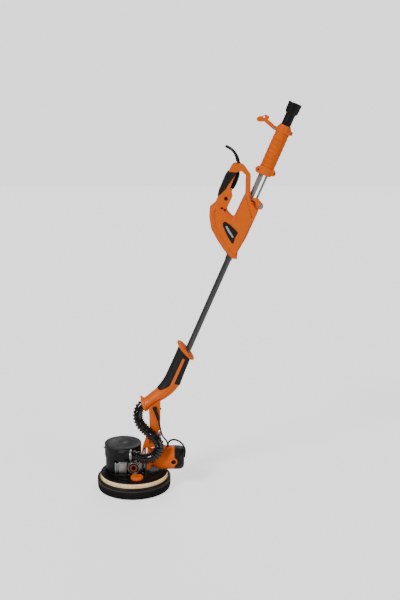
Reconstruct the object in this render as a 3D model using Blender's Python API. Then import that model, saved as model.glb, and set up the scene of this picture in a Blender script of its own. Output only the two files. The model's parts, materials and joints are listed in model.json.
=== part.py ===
"""Pole drywall sander: motor head, gimbal, goose-neck, D-handle body and telescopic rear grip.

Metres, +Z up. The origin is the centre of the abrasive disc's working face, and the head lies flat
on z = 0. The pole leans towards +X, and -Y is the front, where the switches are.
Everything above the gimbal is drawn in the pole's own frame: its z runs up the lower tube, its x
square to it, and the empty "pole_frame" holds its place and lean.
"""
import math

import bmesh
import bpy
from mathutils import Matrix, Vector

# ---------------------------------------------------------------- driving dimensions
GAP = 0.0003                    # between pieces that touch

LEAN = math.radians(23.2)       # the pole from upright
POLE_AT = (0.1849, 0.0, 0.4864)  # the pole frame's origin, on the lower tube's axis

DISC_R = 0.1125                 # 225 mm abrasive disc
SKIRT_R = 0.125
COVER_R = 0.114
COVER_TOP = 0.0575
DUST_HOLES = 8
DUST_HOLE_R = 0.0075
DUST_CIRCLE_R = 0.080

MOTOR_Z = 0.106                 # the motor's axis, along X
MOTOR_R = 0.0405
BRUSH_X, BOSS_R = 0.1362, 0.0126             # motor brushes
FAN_AT = (-0.038, 0.024)        # the suction fan's upright axis
FAN_DRUM_R = 0.0625
DRUM_FLOOR = 0.1045
DRUM_TOP = 0.1512
SPIGOT_Y = -0.052
SPIGOT_Z = 0.133
SPIGOT_R = 0.0165
CASE_R = 0.0405                 # gear case round the spindle

WHEEL_TEETH, PINION_TEETH = 24, 6        # bevel pair, motor to disc
BEVEL_R = 0.034                          # the bevel wheel's pitch radius
FAN_WHEEL_TEETH, FAN_PINION_TEETH = 24, 8    # spur pair, disc to fan

GIMBAL = Vector((0.073, 0.0, 0.185))     # both gimbal axes cross here
PIN_R = 0.004

KNOB_AT = (0.014, -0.074)

HOSE_R = 0.0165
HOSE_ROUTE = [
    (0.0400, 0.000, 0.2967), (0.0325, 0.000, 0.2938), (0.0235, -0.003, 0.2850),
    (0.0175, -0.008, 0.2700), (0.0178, -0.014, 0.2500), (0.0270, -0.022, 0.2310),
    (0.0430, -0.031, 0.2165), (0.0610, -0.039, 0.2030), (0.0775, -0.046, 0.1895),
    (0.0870, -0.051, 0.1740), (0.0875, -0.055, 0.1570), (0.0780, -0.057, 0.1400),
    (0.0620, -0.0575, 0.1280), (0.0430, -0.0565, 0.1240), (0.0240, -0.0540, 0.1265),
    (0.0110, -0.0523, 0.1318), (-0.0005, -0.052, 0.1330),
]
LEAD_R = 0.0028
LEAD_ROUTE = [
    (0.0869, -0.0256, 0.2462), (0.0905, -0.0268, 0.2280), (0.0940, -0.0276, 0.2100),
    (0.0985, -0.0270, 0.1950), (0.1050, -0.0240, 0.1840), (0.1110, -0.0195, 0.1740),
    (0.1145, -0.0150, 0.1640), (0.1158, -0.0125, 0.1545),
]
RELIEF_TOP = Vector((0.0740, -0.0257, 0.2890))
RELIEF_END = Vector((0.0868, -0.0255, 0.2466))

TUBE_R = 0.0097                 # lower tube
TUBE_TOP = 0.400
UPPER_X, UPPER_R = -0.0140, 0.0080       # telescopic tube, pole frame
ROD_X, ROD_R = 0.0046, 0.0037            # guide rod
UPPER_FOOT = 0.404
GRIP_X = -0.0058                # the rear grip's axis, pole frame
GRIP_R = 0.0232

BODY_HALF = 0.031               # the main body's half thickness
HANDLE_HALF = 0.019             # the D-handle's
EAR_HALF = 0.008
SHELL = 0.0026                  # wall of the plastic shells

TRIGGER_AT = (-0.0855, 0.6045)
BUTTON_AT = (-0.088, 0.517)
DIAL_AT = (-0.0825, 0.4840)
LEVER_AT = (0.0225, 0.5385)
HOOK_AT = (-0.0362, 0.7820)

CORD_R = 0.0039
HANK_X = 0.002                  # middle of the hank, pole frame
HANK_Z = (0.385, 0.541)
HANK_Y = (0.0345, 0.1065)
HANK_THICK = 0.0405

# outlines in the pole frame, x and z in millimetres
BODY_OUTLINE = [
    (-108, 629), (-92, 636), (-75, 635), (-46, 617), (-26, 572), (-14, 545), (10, 528), (24, 521),
    (23, 426), (17, 375), (24, 350), (8, 345), (-31, 363), (-62, 384), (-92, 408), (-112, 439),
    (-123, 470), (-112, 492), (-112, 514), (-116, 540), (-116, 562), (-113, 597), (-112, 617),
]
MAIN_OUTLINE = [
    (-35, 546), (-22, 552), (-12, 540), (10, 525), (22, 519), (21, 426), (15, 376), (21, 352),
    (8, 348), (-30, 366), (-61, 387), (-90, 411), (-109, 441), (-119, 469), (-106, 490),
    (-90, 497), (-74, 488), (-65, 476), (-44, 466), (-38, 471),
]
OPENING_OUTLINE = [
    (-82, 613), (-78, 618), (-58, 610), (-40, 565), (-35, 545), (-37, 474), (-44, 471),
    (-65, 481), (-72, 493), (-71, 533), (-79, 545), (-78, 562),
]
EAR_OUTLINE = [(-10, 530), (8, 547), (20, 549), (30, 545), (32, 537), (26, 525), (10, 515)]
OVERMOULD_OUTLINE = [
    (-118.5, 560), (-118.5, 585), (-116, 599), (-90, 611), (-91, 592), (-96, 586), (-98, 546),
    (-107, 524), (-115, 510), (-118, 530),
]
TRIGGER_OUTLINE = [
    (-89, 604), (-86, 609), (-81.5, 610), (-78, 603), (-75, 588), (-74.5, 570), (-76, 556),
    (-80, 551), (-88, 553),
]
LEVER_OUTLINE = [
    (-12, 548), (-9, 553), (7, 558), (20, 551), (29, 547), (33.5, 538), (30, 529), (22, 526),
    (14, 531), (4, 543),
]
HOOK_OUTLINE = [
    (-36, 788), (-31, 785), (-31.2, 778.5), (-38, 776), (-74, 787), (-88, 780.5), (-96, 781),
    (-99, 787), (-95, 796), (-86, 800), (-77, 809), (-66, 809), (-63, 803), (-66, 798), (-48, 793),
]
COLLAR_OUTLINE = [
    (-37, 636), (-33, 632), (-23, 632), (8, 637), (24, 641), (27, 645), (26, 655), (20, 659),
    (-27, 655), (-35, 649), (-38, 643),
]
BRACKET_OUTLINE = [
    (26.5, 121.5), (34.0, 121.5), (34.0, 144.0), (60, 146.5), (76, 150), (88, 155.5), (91.5, 160.5),
    (54.5, 160.5), (54.5, 188), (50, 191), (43.5, 184), (36, 160), (29.5, 140),
]
LEG_OUTLINE = [
    (56, 209.5), (90, 209.5), (91, 240), (92.5, 322), (52, 300), (54.5, 262),
]

# goose-neck stations: upper left end, lower right end (pole frame, mm) and half depth
NECK_SLEEVED = [
    ((-33.5, 3.2), (19.0, -24.2), 22.5), ((-33.5, -38), (20.0, -48), 22.5),
    ((-34.0, -80), (21.0, -82), 22.0), ((-35.0, -116), (22.5, -108), 22.0),
    ((-41.5, -152), (22.5, -122), 22.5),
]
NECK_BARE = [
    ((-42.2, -154), (21.8, -126), 22.5), ((-46.5, -166), (14, -153), 22.5),
    ((-52.5, -178.6), (0, -181), 22.5), ((-59, -191), (-15, -202), 22.5),
    ((-66, -205), (-29, -226), 22.5), ((-72, -213), (-41, -246), 23.5),
]
SLEEVE_THICK = 2.8              # rubber sleeve, mm

MM = 0.001


# ---------------------------------------------------------------- scene and materials
for old in list(bpy.data.objects):
    bpy.data.objects.remove(old, do_unlink=True)


def material(name, colour, roughness, metallic=0.0):
    """A Principled material."""
    made = bpy.data.materials.new(name)
    made.use_nodes = True
    shader = made.node_tree.nodes["Principled BSDF"]
    shader.inputs["Base Color"].default_value = (*colour, 1.0)
    shader.inputs["Roughness"].default_value = roughness
    shader.inputs["Metallic"].default_value = metallic
    return made


ORANGE = material("orange_plastic", (0.86, 0.19, 0.012), 0.42)
ORANGE_CAST = material("orange_casting", (0.84, 0.17, 0.012), 0.45)
BLACK = material("black_plastic", (0.022, 0.022, 0.024), 0.5)
RUBBER = material("black_rubber", (0.018, 0.018, 0.019), 0.75)
BRISTLE = material("bristle_black", (0.025, 0.024, 0.024), 0.85)
SILVER = material("cast_aluminium", (0.52, 0.51, 0.49), 0.42, 1.0)
STEEL = material("bright_steel", (0.62, 0.62, 0.63), 0.25, 1.0)
DARK_STEEL = material("dark_tube", (0.14, 0.14, 0.145), 0.28, 1.0)
COPPER = material("copper_winding", (0.45, 0.18, 0.07), 0.4, 1.0)
CREAM = material("led_diffuser", (0.83, 0.72, 0.50), 0.35)
FOAM = material("foam", (0.05, 0.05, 0.055), 0.9)
GRIT = material("abrasive", (0.42, 0.30, 0.19), 0.95)
WEBBING = material("tie_webbing", (0.02, 0.02, 0.022), 0.9)

pole = bpy.data.objects.new("pole_frame", None)
pole.location = POLE_AT
pole.rotation_euler = (0.0, LEAN, 0.0)
bpy.context.collection.objects.link(pole)


def pole_point(x, z, y=0.0):
    """A point of the pole frame in the world."""
    c, s = math.cos(LEAN), math.sin(LEAN)
    return Vector((POLE_AT[0] + x * c + z * s, y, POLE_AT[2] + z * c - x * s))


def in_pole(bm):
    """A world-frame shape, put in the pole's frame."""
    bm.transform((Matrix.Translation(POLE_AT) @ Matrix.Rotation(LEAN, 4, "Y")).inverted())
    return bm


# ---------------------------------------------------------------- shapes
def skin(rings, closed=False):
    """Faces between rings of points; the ends are capped unless the rings close on themselves."""
    bm = bmesh.new()
    rows = [[bm.verts.new(p) for p in ring] for ring in rings]
    pairs = list(zip(rows, rows[1:]))
    if closed:
        pairs.append((rows[-1], rows[0]))
    for a, b in pairs:
        for i in range(len(a)):
            j = (i + 1) % len(a)
            bm.faces.new((a[i], a[j], b[j], b[i]))
    if not closed:
        bm.faces.new(rows[0])
        bm.faces.new(rows[-1])
    bmesh.ops.recalc_face_normals(bm, faces=bm.faces)
    return bm


def turned(profile, segments, axis="Z", at=(0.0, 0.0, 0.0)):
    """A profile of (radius, height) turned about an axis: from axis to axis, or a closed loop."""
    bm = bmesh.new()
    solid = profile[0][0] == 0.0
    inner = profile[1:-1] if solid else profile

    def place(r, h, angle):
        u, v = r * math.cos(angle), r * math.sin(angle)
        local = {"Z": (u, v, h), "X": (h, u, v), "Y": (u, h, v)}[axis]
        return Vector(local) + Vector(at)

    rings = []
    for r, h in inner:
        rings.append([bm.verts.new(place(r, h, 2 * math.pi * k / segments)) for k in range(segments)])
    pairs = list(zip(rings, rings[1:]))
    if not solid:
        pairs.append((rings[-1], rings[0]))
    for a, b in pairs:
        for i in range(segments):
            j = (i + 1) % segments
            bm.faces.new((a[i], a[j], b[j], b[i]))
    if solid:
        for ring, height in ((rings[0], profile[0][1]), (rings[-1], profile[-1][1])):
            tip = bm.verts.new(place(0.0, height, 0.0))
            for i in range(segments):
                bm.faces.new((ring[i], ring[(i + 1) % segments], tip))
    bmesh.ops.recalc_face_normals(bm, faces=bm.faces)
    return bm


def prism(outline, low, high, plane="XZ", scale=MM):
    """An outline extruded along the third axis from low to high."""
    rings = []
    for level in (low, high):
        ring = []
        for a, b in outline:
            point = {"XZ": (a * scale, level, b * scale), "XY": (a * scale, b * scale, level),
                     "YZ": (level, a * scale, b * scale)}[plane]
            ring.append(point)
        rings.append(ring)
    return skin(rings)


def box(low, high):
    """A box from its lowest to its highest corner."""
    outline = [(low[0], low[1]), (high[0], low[1]), (high[0], high[1]), (low[0], high[1])]
    return prism(outline, low[2], high[2], "XY", 1.0)


def rounded_box(low, high, radius, plane="YZ", steps=4):
    """A box whose edges along the extrusion axis are rounded."""
    axes = {"XY": (0, 1, 2), "XZ": (0, 2, 1), "YZ": (1, 2, 0)}[plane]
    a0, a1 = low[axes[0]] + radius, high[axes[0]] - radius
    b0, b1 = low[axes[1]] + radius, high[axes[1]] - radius
    outline = []
    for ca, cb, start in ((a1, b1, 0), (a0, b1, 90), (a0, b0, 180), (a1, b0, 270)):
        for k in range(steps + 1):
            turn = math.radians(start + 90 * k / steps)
            outline.append((ca + radius * math.cos(turn), cb + radius * math.sin(turn)))
    return prism(outline, low[axes[2]], high[axes[2]], plane, 1.0)


def rod(start, end, r0, r1=None, segments=12):
    """A round bar or cone between two points."""
    start, end = Vector(start), Vector(end)
    along = (end - start).normalized()
    side = along.orthogonal().normalized()
    other = along.cross(side)
    rings = []
    for centre, r in ((start, r0), (end, r0 if r1 is None else r1)):
        ring = []
        for k in range(segments):
            turn = 2 * math.pi * k / segments
            ring.append(centre + side * (r * math.cos(turn)) + other * (r * math.sin(turn)))
        rings.append(ring)
    return skin(rings)


def offset(outline, distance):
    """The outline moved outwards by a distance, mitred; negative moves it inwards."""
    area = sum(a[0] * b[1] - b[0] * a[1] for a, b in zip(outline, outline[1:] + outline[:1]))
    sign = 1.0 if area > 0 else -1.0
    moved = []
    for i, here in enumerate(outline):
        before, after = outline[i - 1], outline[(i + 1) % len(outline)]
        d0 = Vector((here[0] - before[0], here[1] - before[1])).normalized()
        d1 = Vector((after[0] - here[0], after[1] - here[1])).normalized()
        n0, n1 = Vector((d0.y, -d0.x)) * sign, Vector((d1.y, -d1.x)) * sign
        mitre = (n0 + n1).normalized()
        reach = distance / max(0.5, mitre.dot(n0))
        moved.append((here[0] + mitre.x * reach, here[1] + mitre.y * reach))
    return moved


def smooth_path(points, spacing):
    """Points at a steady spacing on the Catmull-Rom curve through the given ones."""
    knots = [Vector(p) for p in points]
    knots = [knots[0] * 2 - knots[1], *knots, knots[-1] * 2 - knots[-2]]
    fine = []
    for i in range(1, len(knots) - 2):
        a, b, c, d = knots[i - 1:i + 3]
        for k in range(12):
            t = k / 12
            fine.append(0.5 * (2 * b + (c - a) * t + (2 * a - 5 * b + 4 * c - d) * t * t
                               + (3 * b - a - 3 * c + d) * t ** 3))
    fine.append(knots[-2])
    length = sum((q - p).length for p, q in zip(fine, fine[1:]))
    count = max(2, round(length / spacing))
    walked, found, target = 0.0, [fine[0]], length / count
    for p, q in zip(fine, fine[1:]):
        step = (q - p).length
        while walked + step >= target - 1e-9 and len(found) < count:
            found.append(p.lerp(q, (target - walked) / step))
            target += length / count
        walked += step
    found.append(fine[-1])
    return found


def gear(teeth, pitch_r, low, high, centre=(0.0, 0.0), first=0.0):
    """A spur gear's outline extruded along Z; the first tooth points along the angle `first`."""
    module = 2 * pitch_r / teeth
    outline = []
    for k in range(teeth):
        middle = first + 2 * math.pi * k / teeth
        half = math.pi / teeth
        for share, r in ((-0.62, pitch_r - 1.1 * module), (-0.26, pitch_r + 0.8 * module),
                         (0.26, pitch_r + 0.8 * module), (0.62, pitch_r - 1.1 * module)):
            turn = middle + share * half
            outline.append((centre[0] + r * math.cos(turn), centre[1] + r * math.sin(turn)))
    return prism(outline, low, high, "XY", 1.0)


# ---------------------------------------------------------------- objects
def add(name, bm, mat, parent=None, at=(0.0, 0.0, 0.0), sharp=32):
    """An object of the parent's frame from bm, with its origin put at `at`."""
    bmesh.ops.recalc_face_normals(bm, faces=bm.faces)
    bm.transform(Matrix.Translation(-Vector(at)))
    mesh = bpy.data.meshes.new(name)
    bm.to_mesh(mesh)
    bm.free()
    mesh.materials.append(mat)
    mesh.shade_smooth()
    mesh.set_sharp_from_angle(angle=math.radians(sharp))
    made = bpy.data.objects.new(name, mesh)
    made.location = at
    made.parent = parent
    bpy.context.collection.objects.link(made)
    return made


def combine(target, operation, *tools):
    """Joins or cuts tools, given as bmesh in the target's parent frame, and keeps the result."""
    for bm in tools:
        tool = add("tool", bm, target.data.materials[0], target.parent)
        step = target.modifiers.new("shape", "BOOLEAN")
        step.operation = operation
        step.solver = "EXACT"
        step.object = tool
        bpy.context.view_layer.update()
        shaped = bpy.data.meshes.new_from_object(
            target.evaluated_get(bpy.context.evaluated_depsgraph_get()))
        target.modifiers.clear()
        target.data = shaped
        bpy.data.objects.remove(tool, do_unlink=True)
    target.data.shade_smooth()
    target.data.set_sharp_from_angle(angle=math.radians(32))
    return target


def cut(target, *tools):
    return combine(target, "DIFFERENCE", *tools)


def join(target, *tools):
    return combine(target, "UNION", *tools)


def tube_curve(name, points, radius, mat, parent=None, resolution=2):
    """A round cord or hose as a poly curve with filled caps."""
    curve = bpy.data.curves.new(name, "CURVE")
    curve.dimensions = "3D"
    curve.bevel_depth = radius
    curve.bevel_resolution = resolution
    curve.use_fill_caps = True
    spline = curve.splines.new("POLY")
    spline.points.add(len(points) - 1)
    for knot, p in zip(spline.points, points):
        knot.co = (*p, 1.0)
    curve.materials.append(mat)
    made = bpy.data.objects.new(name, curve)
    made.parent = parent
    bpy.context.collection.objects.link(made)
    return made


# ---------------------------------------------------------------- disc group (spins)
def dust_cutter(low, high):
    """One upright bar for each dust hole, in turn."""
    for k in range(DUST_HOLES):
        turn = 2 * math.pi * (k + 0.5) / DUST_HOLES
        x, y = DUST_CIRCLE_R * math.cos(turn), DUST_CIRCLE_R * math.sin(turn)
        yield rod((x, y, low), (x, y, high), DUST_HOLE_R, segments=8)


def build_disc_group():
    rings = []
    for r, z in ((0.0300, 0.0), (DISC_R, 0.0), (DISC_R, 0.0015), (0.0300, 0.0015)):
        rings.append([Vector((r * math.cos(2 * math.pi * k / 40), r * math.sin(2 * math.pi * k / 40),
                              z)) for k in range(40)])
    paper = add("abrasive_disc", skin(rings), GRIT)
    cut(paper, *dust_cutter(-0.001, 0.003))
    foam = add("foam_pad", turned([(0.012, 0.0018), (DISC_R - 0.0005, 0.0018),
                                   (DISC_R - 0.0005, 0.0125), (0.012, 0.0125)], 40), FOAM)
    cut(foam, *dust_cutter(0.001, 0.014))
    plate = add("pad_plate", turned([
        (0.0076, 0.0128), (0.102, 0.0128), (0.102, 0.0160), (0.030, 0.0175), (0.022, 0.0260),
        (0.0076, 0.0260)], 36), BLACK)
    cut(plate, *dust_cutter(0.012, 0.018))
    fan_distance = math.hypot(*FAN_AT)
    spur_r = fan_distance * FAN_WHEEL_TEETH / (FAN_WHEEL_TEETH + FAN_PINION_TEETH)
    spindle = add("spindle", turned([
        (0, 0.0040), (0.0105, 0.0040), (0.0105, 0.0125), (0.0072, 0.0125), (0.0072, 0.0640),
        (0.0090, 0.0640), (0.0090, 0.0860), (0.0062, 0.0860), (0.0062, 0.0985), (0, 0.0985)], 18),
        STEEL)
    join(spindle, gear(FAN_WHEEL_TEETH, spur_r, 0.0665, 0.0725,
                       first=math.atan2(FAN_AT[1], FAN_AT[0])))
    build_bevel_wheel()


def bevel_rings(teeth, cone_r, depth, first, faces):
    """Rings of a bevel gear's teeth: cone_r at the big end, shrinking towards the apex.

    depth is the partner's pitch radius at the big end, and faces the two shares of the cone.
    Each ring is (radius, distance from the apex plane, angle) for every point of the outline.
    """
    module = 2 * cone_r / teeth
    slope = math.hypot(cone_r, depth)
    rings = []
    for share in faces:
        ring = []
        for k in range(teeth):
            middle = first + 2 * math.pi * k / teeth
            half = math.pi / teeth
            for width, rise in ((-0.50, -0.75), (-0.20, 0.50), (0.20, 0.50), (0.50, -0.75)):
                lift = rise * module
                radius = (cone_r + lift * depth / slope) * share
                drop = (depth - lift * cone_r / slope) * share
                ring.append((radius, drop, middle + width * half))
        rings.append(ring)
    return rings


def build_bevel_wheel():
    pinion_r = BEVEL_R * PINION_TEETH / WHEEL_TEETH
    rings = []
    for ring in bevel_rings(WHEEL_TEETH, BEVEL_R, pinion_r, 0.0, (0.76, 1.0)):
        rings.append([(r * math.cos(a), r * math.sin(a), MOTOR_Z - d) for r, d, a in ring])
    back = [(p[0] * 0.99, p[1] * 0.99, 0.0905) for p in rings[1]]
    wheel = add("bevel_wheel", skin([*rings, back]), STEEL)
    cut(wheel, turned([(0, 0.085), (0.0065, 0.085), (0.0065, 0.110), (0, 0.110)], 18))
    cut(wheel, turned([(0, 0.0963), (0.0235, 0.0963), (0.0235, 0.110), (0, 0.110)], 28))
    wheel.data.name = "bevel_wheel"


# ---------------------------------------------------------------- motor rotor (spins)
def build_rotor():
    at = (0.090, 0.0, MOTOR_Z)
    pinion_r = BEVEL_R * PINION_TEETH / WHEEL_TEETH
    shaft = add("rotor_shaft", turned([
        (0, 0.0345), (0.0045, 0.0345), (0.0045, 0.1500), (0, 0.1500)], 14, "X",
        (0, 0, MOTOR_Z)), STEEL, at=at)
    rings = []
    for ring in bevel_rings(PINION_TEETH, pinion_r, BEVEL_R, math.pi / 3, (0.80, 0.99)):
        rings.append([(d, r * math.cos(a), MOTOR_Z + r * math.sin(a)) for r, d, a in ring])
    rings.append([(0.0352, p[1], p[2]) for p in rings[1]])
    join(shaft, skin(rings))
    core = add("rotor_core", turned([
        (0.0048, 0.0620), (0.0230, 0.0620), (0.0230, 0.0690), (0.0100, 0.0700), (0.0100, 0.0780),
        (0.0200, 0.0780), (0.0258, 0.0840), (0.0258, 0.1120), (0.0200, 0.1180), (0.0120, 0.1180),
        (0.0120, 0.1260), (0.0120, 0.1370), (0.0048, 0.1370)], 24, "X", (0, 0, MOTOR_Z)),
        COPPER, at=at)
    slots = []
    for k in range(6):
        turn = 2 * math.pi * (k + 0.5) / 6
        centre = Vector((0, 0.0262 * math.cos(turn), MOTOR_Z + 0.0262 * math.sin(turn)))
        slots.append(rod(centre + Vector((0.080, 0, 0)), centre + Vector((0.116, 0, 0)),
                         0.0024, segments=4))
    cut(core, *slots)


# ---------------------------------------------------------------- suction fan (spins)
def build_fan():
    x, y = FAN_AT
    distance = math.hypot(x, y)
    spur_r = distance * FAN_PINION_TEETH / (FAN_WHEEL_TEETH + FAN_PINION_TEETH)
    at = (x, y, 0.110)
    fan = add("impeller", turned([
        (0, 0.0630), (0.0040, 0.0630), (0.0040, 0.1095), (0.0120, 0.1095), (0.0520, 0.1095),
        (0.0520, 0.1115), (0.0140, 0.1135), (0.0110, 0.1330), (0.0080, 0.1360), (0, 0.1360)], 24,
        at=(x, y, 0)), BLACK, at=at)
    toothed = gear(FAN_PINION_TEETH, spur_r, 0.0667, 0.0723, FAN_AT,
                   math.atan2(y, x) + math.pi + math.pi / FAN_PINION_TEETH)
    join(fan, toothed)
    for k in range(6):
        rings = []
        for half in (-0.0009, 0.0009):
            ring = []
            for share in range(3):
                r = 0.010 + share * 0.0200
                turn = 2 * math.pi * k / 6 + share * 0.30
                radial = Vector((math.cos(turn), math.sin(turn), 0))
                side = Vector((-radial.y, radial.x, 0))
                ring.append((Vector((x, y, 0)) + radial * r + side * half, 0.1330 - share * 0.0030))
            rings.append(ring)
        outline = [p for p, _ in rings[0]] + [p for p, _ in reversed(rings[1])]
        tops = [h for _, h in rings[0]] + [h for _, h in reversed(rings[1])]
        low = [(p.x, p.y, 0.1105) for p in outline]
        high = [(p.x, p.y, h) for p, h in zip(outline, tops)]
        join(fan, skin([low, high]))


# ---------------------------------------------------------------- head
def build_cover():
    cover = add("head_cover", turned([
        (0.0160, 0.0545), (0.1065, 0.0545), (0.1065, 0.0335), (0.1246, 0.0335), (0.1246, 0.0385),
        (0.1225, 0.0412), (0.1150, 0.0412), (0.1150, 0.0345), (0.1090, 0.0345), (0.1090, 0.0545),
        (COVER_R, 0.0545), (0.1120, COVER_TOP), (0.0160, COVER_TOP)], 40), BLACK)
    x, y = KNOB_AT
    cut(cover, rod((x, y, 0.050), (x, y, 0.060), 0.0058, segments=12))
    add("led_diffuser", turned([
        (0.1108, 0.0352), (COVER_R, 0.0352), (COVER_R, 0.0530), (0.1136, 0.0541),
        (0.1108, 0.0541)], 40), CREAM)
    add("brush_skirt", turned([
        (0.1175, 0.0012), (0.1235, 0.0012), (SKIRT_R, 0.0060), (SKIRT_R, 0.0331),
        (0.1175, 0.0331)], 40), BRISTLE)
    handle = add("suction_knob", turned([
        (0, 0.0515), (0.0054, 0.0515), (0.0054, 0.0579), (0.0205, 0.0579), (0.0215, 0.0592),
        (0.0215, 0.0655), (0.0195, 0.0682), (0.0100, 0.0690), (0, 0.0690)], 24, at=(x, y, 0)),
        ORANGE, at=(x, y, 0.060))
    for k in range(6):
        turn = 2 * math.pi * (k + 0.5) / 6
        px, py = x + 0.0262 * math.cos(turn), y + 0.0262 * math.sin(turn)
        cut(handle, rod((px, py, 0.0570), (px, py, 0.0700), 0.0066, segments=8))


def build_gear_case():
    x, y = FAN_AT
    case = add("gear_case", turned([
        (0, 0.0578), (CASE_R, 0.0578), (CASE_R, 0.1010), (0.0385, 0.1040), (0, 0.1040)], 36), SILVER)
    join(case,
         rod((x, y, 0.0578), (x, y, 0.0860), 0.0175, segments=18),
         rod((0.0243, 0, MOTOR_Z), (0.0350, 0, MOTOR_Z), 0.0148, segments=18),
         rounded_box((0.0345, -0.034, 0.072), (0.0405, 0.034, 0.140), 0.012),
         rounded_box((-0.063, -0.058, 0.0578), (0.036, -0.030, 0.0640), 0.004, "XY", 2),
         rod((0.002, -0.050, 0.0880), (0.002, -0.036, 0.0880), 0.0215, segments=24),
         rounded_box((-0.048, -0.056, 0.0600), (-0.021, -0.0385, 0.1100), 0.002, "XY", 2),
         rod((-0.0585, -0.050, 0.0600), (-0.0585, -0.050, 0.1050), 0.0033, segments=10),
         rod((-0.0525, -0.0465, 0.0600), (-0.0525, -0.0465, 0.1020), 0.0033, segments=10))
    cut(case,
        turned([(0, 0.0605), (0.0375, 0.0605), (0.0375, 0.1018), (0, 0.1018)], 28),
        rod((x, y, 0.0605), (x, y, 0.0835), 0.0150, segments=18),
        rod((x, y, 0.0820), (x, y, 0.0900), 0.0060, segments=12),
        rod((0.0258, 0, MOTOR_Z), (0.0430, 0, MOTOR_Z), 0.0120, segments=18),
        rod((0, 0, 0.0500), (0, 0, 0.0620), 0.0084, segments=14),
        rod((*KNOB_AT, 0.0500), (*KNOB_AT, 0.0700), 0.0225, segments=24),
        rod((0.002, -0.0520, 0.0880), (0.002, -0.0300, 0.0880), 0.0120, segments=14))
    add("gear_case_cap", turned([
        (0.0060, -0.0503), (0.0205, -0.0503), (0.0205, -0.0545), (0.0185, -0.0560),
        (0.0150, -0.0560), (0.0145, -0.0535), (0.0060, -0.0535)], 24, "Y", (0.002, 0, 0.0880)),
        BLACK)
    add("spindle_bearing", turned([
        (0.0094, 0.0735), (0.0180, 0.0735), (0.0180, 0.0840), (0.0094, 0.0840)], 18), STEEL)


def build_drum():
    x, y = FAN_AT
    stand = add("drum_stand", turned([
        (0.0565, 0.0578), (0.0600, 0.0578), (0.0600, 0.1042), (0.0565, 0.1042)], 36,
        at=(x, y, 0)), BLACK)
    cut(stand, rod((0, 0, 0.05), (0, 0, 0.11), 0.0440, segments=28),
        box((-0.0640, -0.070, 0.050), (0.060, -0.010, 0.110)))
    drum = add("fan_drum", turned([
        (0, DRUM_FLOOR), (FAN_DRUM_R - 0.001, DRUM_FLOOR), (FAN_DRUM_R, DRUM_FLOOR + 0.001),
        (FAN_DRUM_R, DRUM_TOP - 0.0045), (0, DRUM_TOP - 0.0045)], 40, at=(x, y, 0)), BLACK)
    join(drum,
         rounded_box((-0.050, -0.068, 0.118), (-0.028, -0.020, 0.1465), 0.005, "YZ", 2),
         rod((-0.030, SPIGOT_Y, SPIGOT_Z), (-0.0025, SPIGOT_Y, SPIGOT_Z), SPIGOT_R, segments=20))
    cut(drum,
        turned([(0, DRUM_FLOOR + 0.0028), (FAN_DRUM_R - 0.0026, DRUM_FLOOR + 0.0028),
                (FAN_DRUM_R - 0.0026, 0.160), (0, 0.160)], 36, at=(x, y, 0)),
        rod((x, y, 0.100), (x, y, 0.110), 0.0075, segments=12),
        rod((-0.0425, SPIGOT_Y, SPIGOT_Z), (0.001, SPIGOT_Y, SPIGOT_Z), SPIGOT_R - 0.0030,
            segments=18),
        box((-0.0460, -0.0560, 0.1225), (-0.0320, -0.0300, 0.1435)))
    r, top = FAN_DRUM_R, DRUM_TOP
    add("drum_lid", turned([
        (0, top - 0.0042), (r, top - 0.0042), (r, top - 0.0012), (r - 0.0020, top),
        (0, top)], 40, at=(x, y, 0)), BLACK)
    add("hose_band", turned([
        (0.0182, -0.0108), (0.0196, -0.0108), (0.0196, -0.0040), (0.0182, -0.0040)], 24, "X",
        (0, SPIGOT_Y, SPIGOT_Z)), STEEL)


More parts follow.
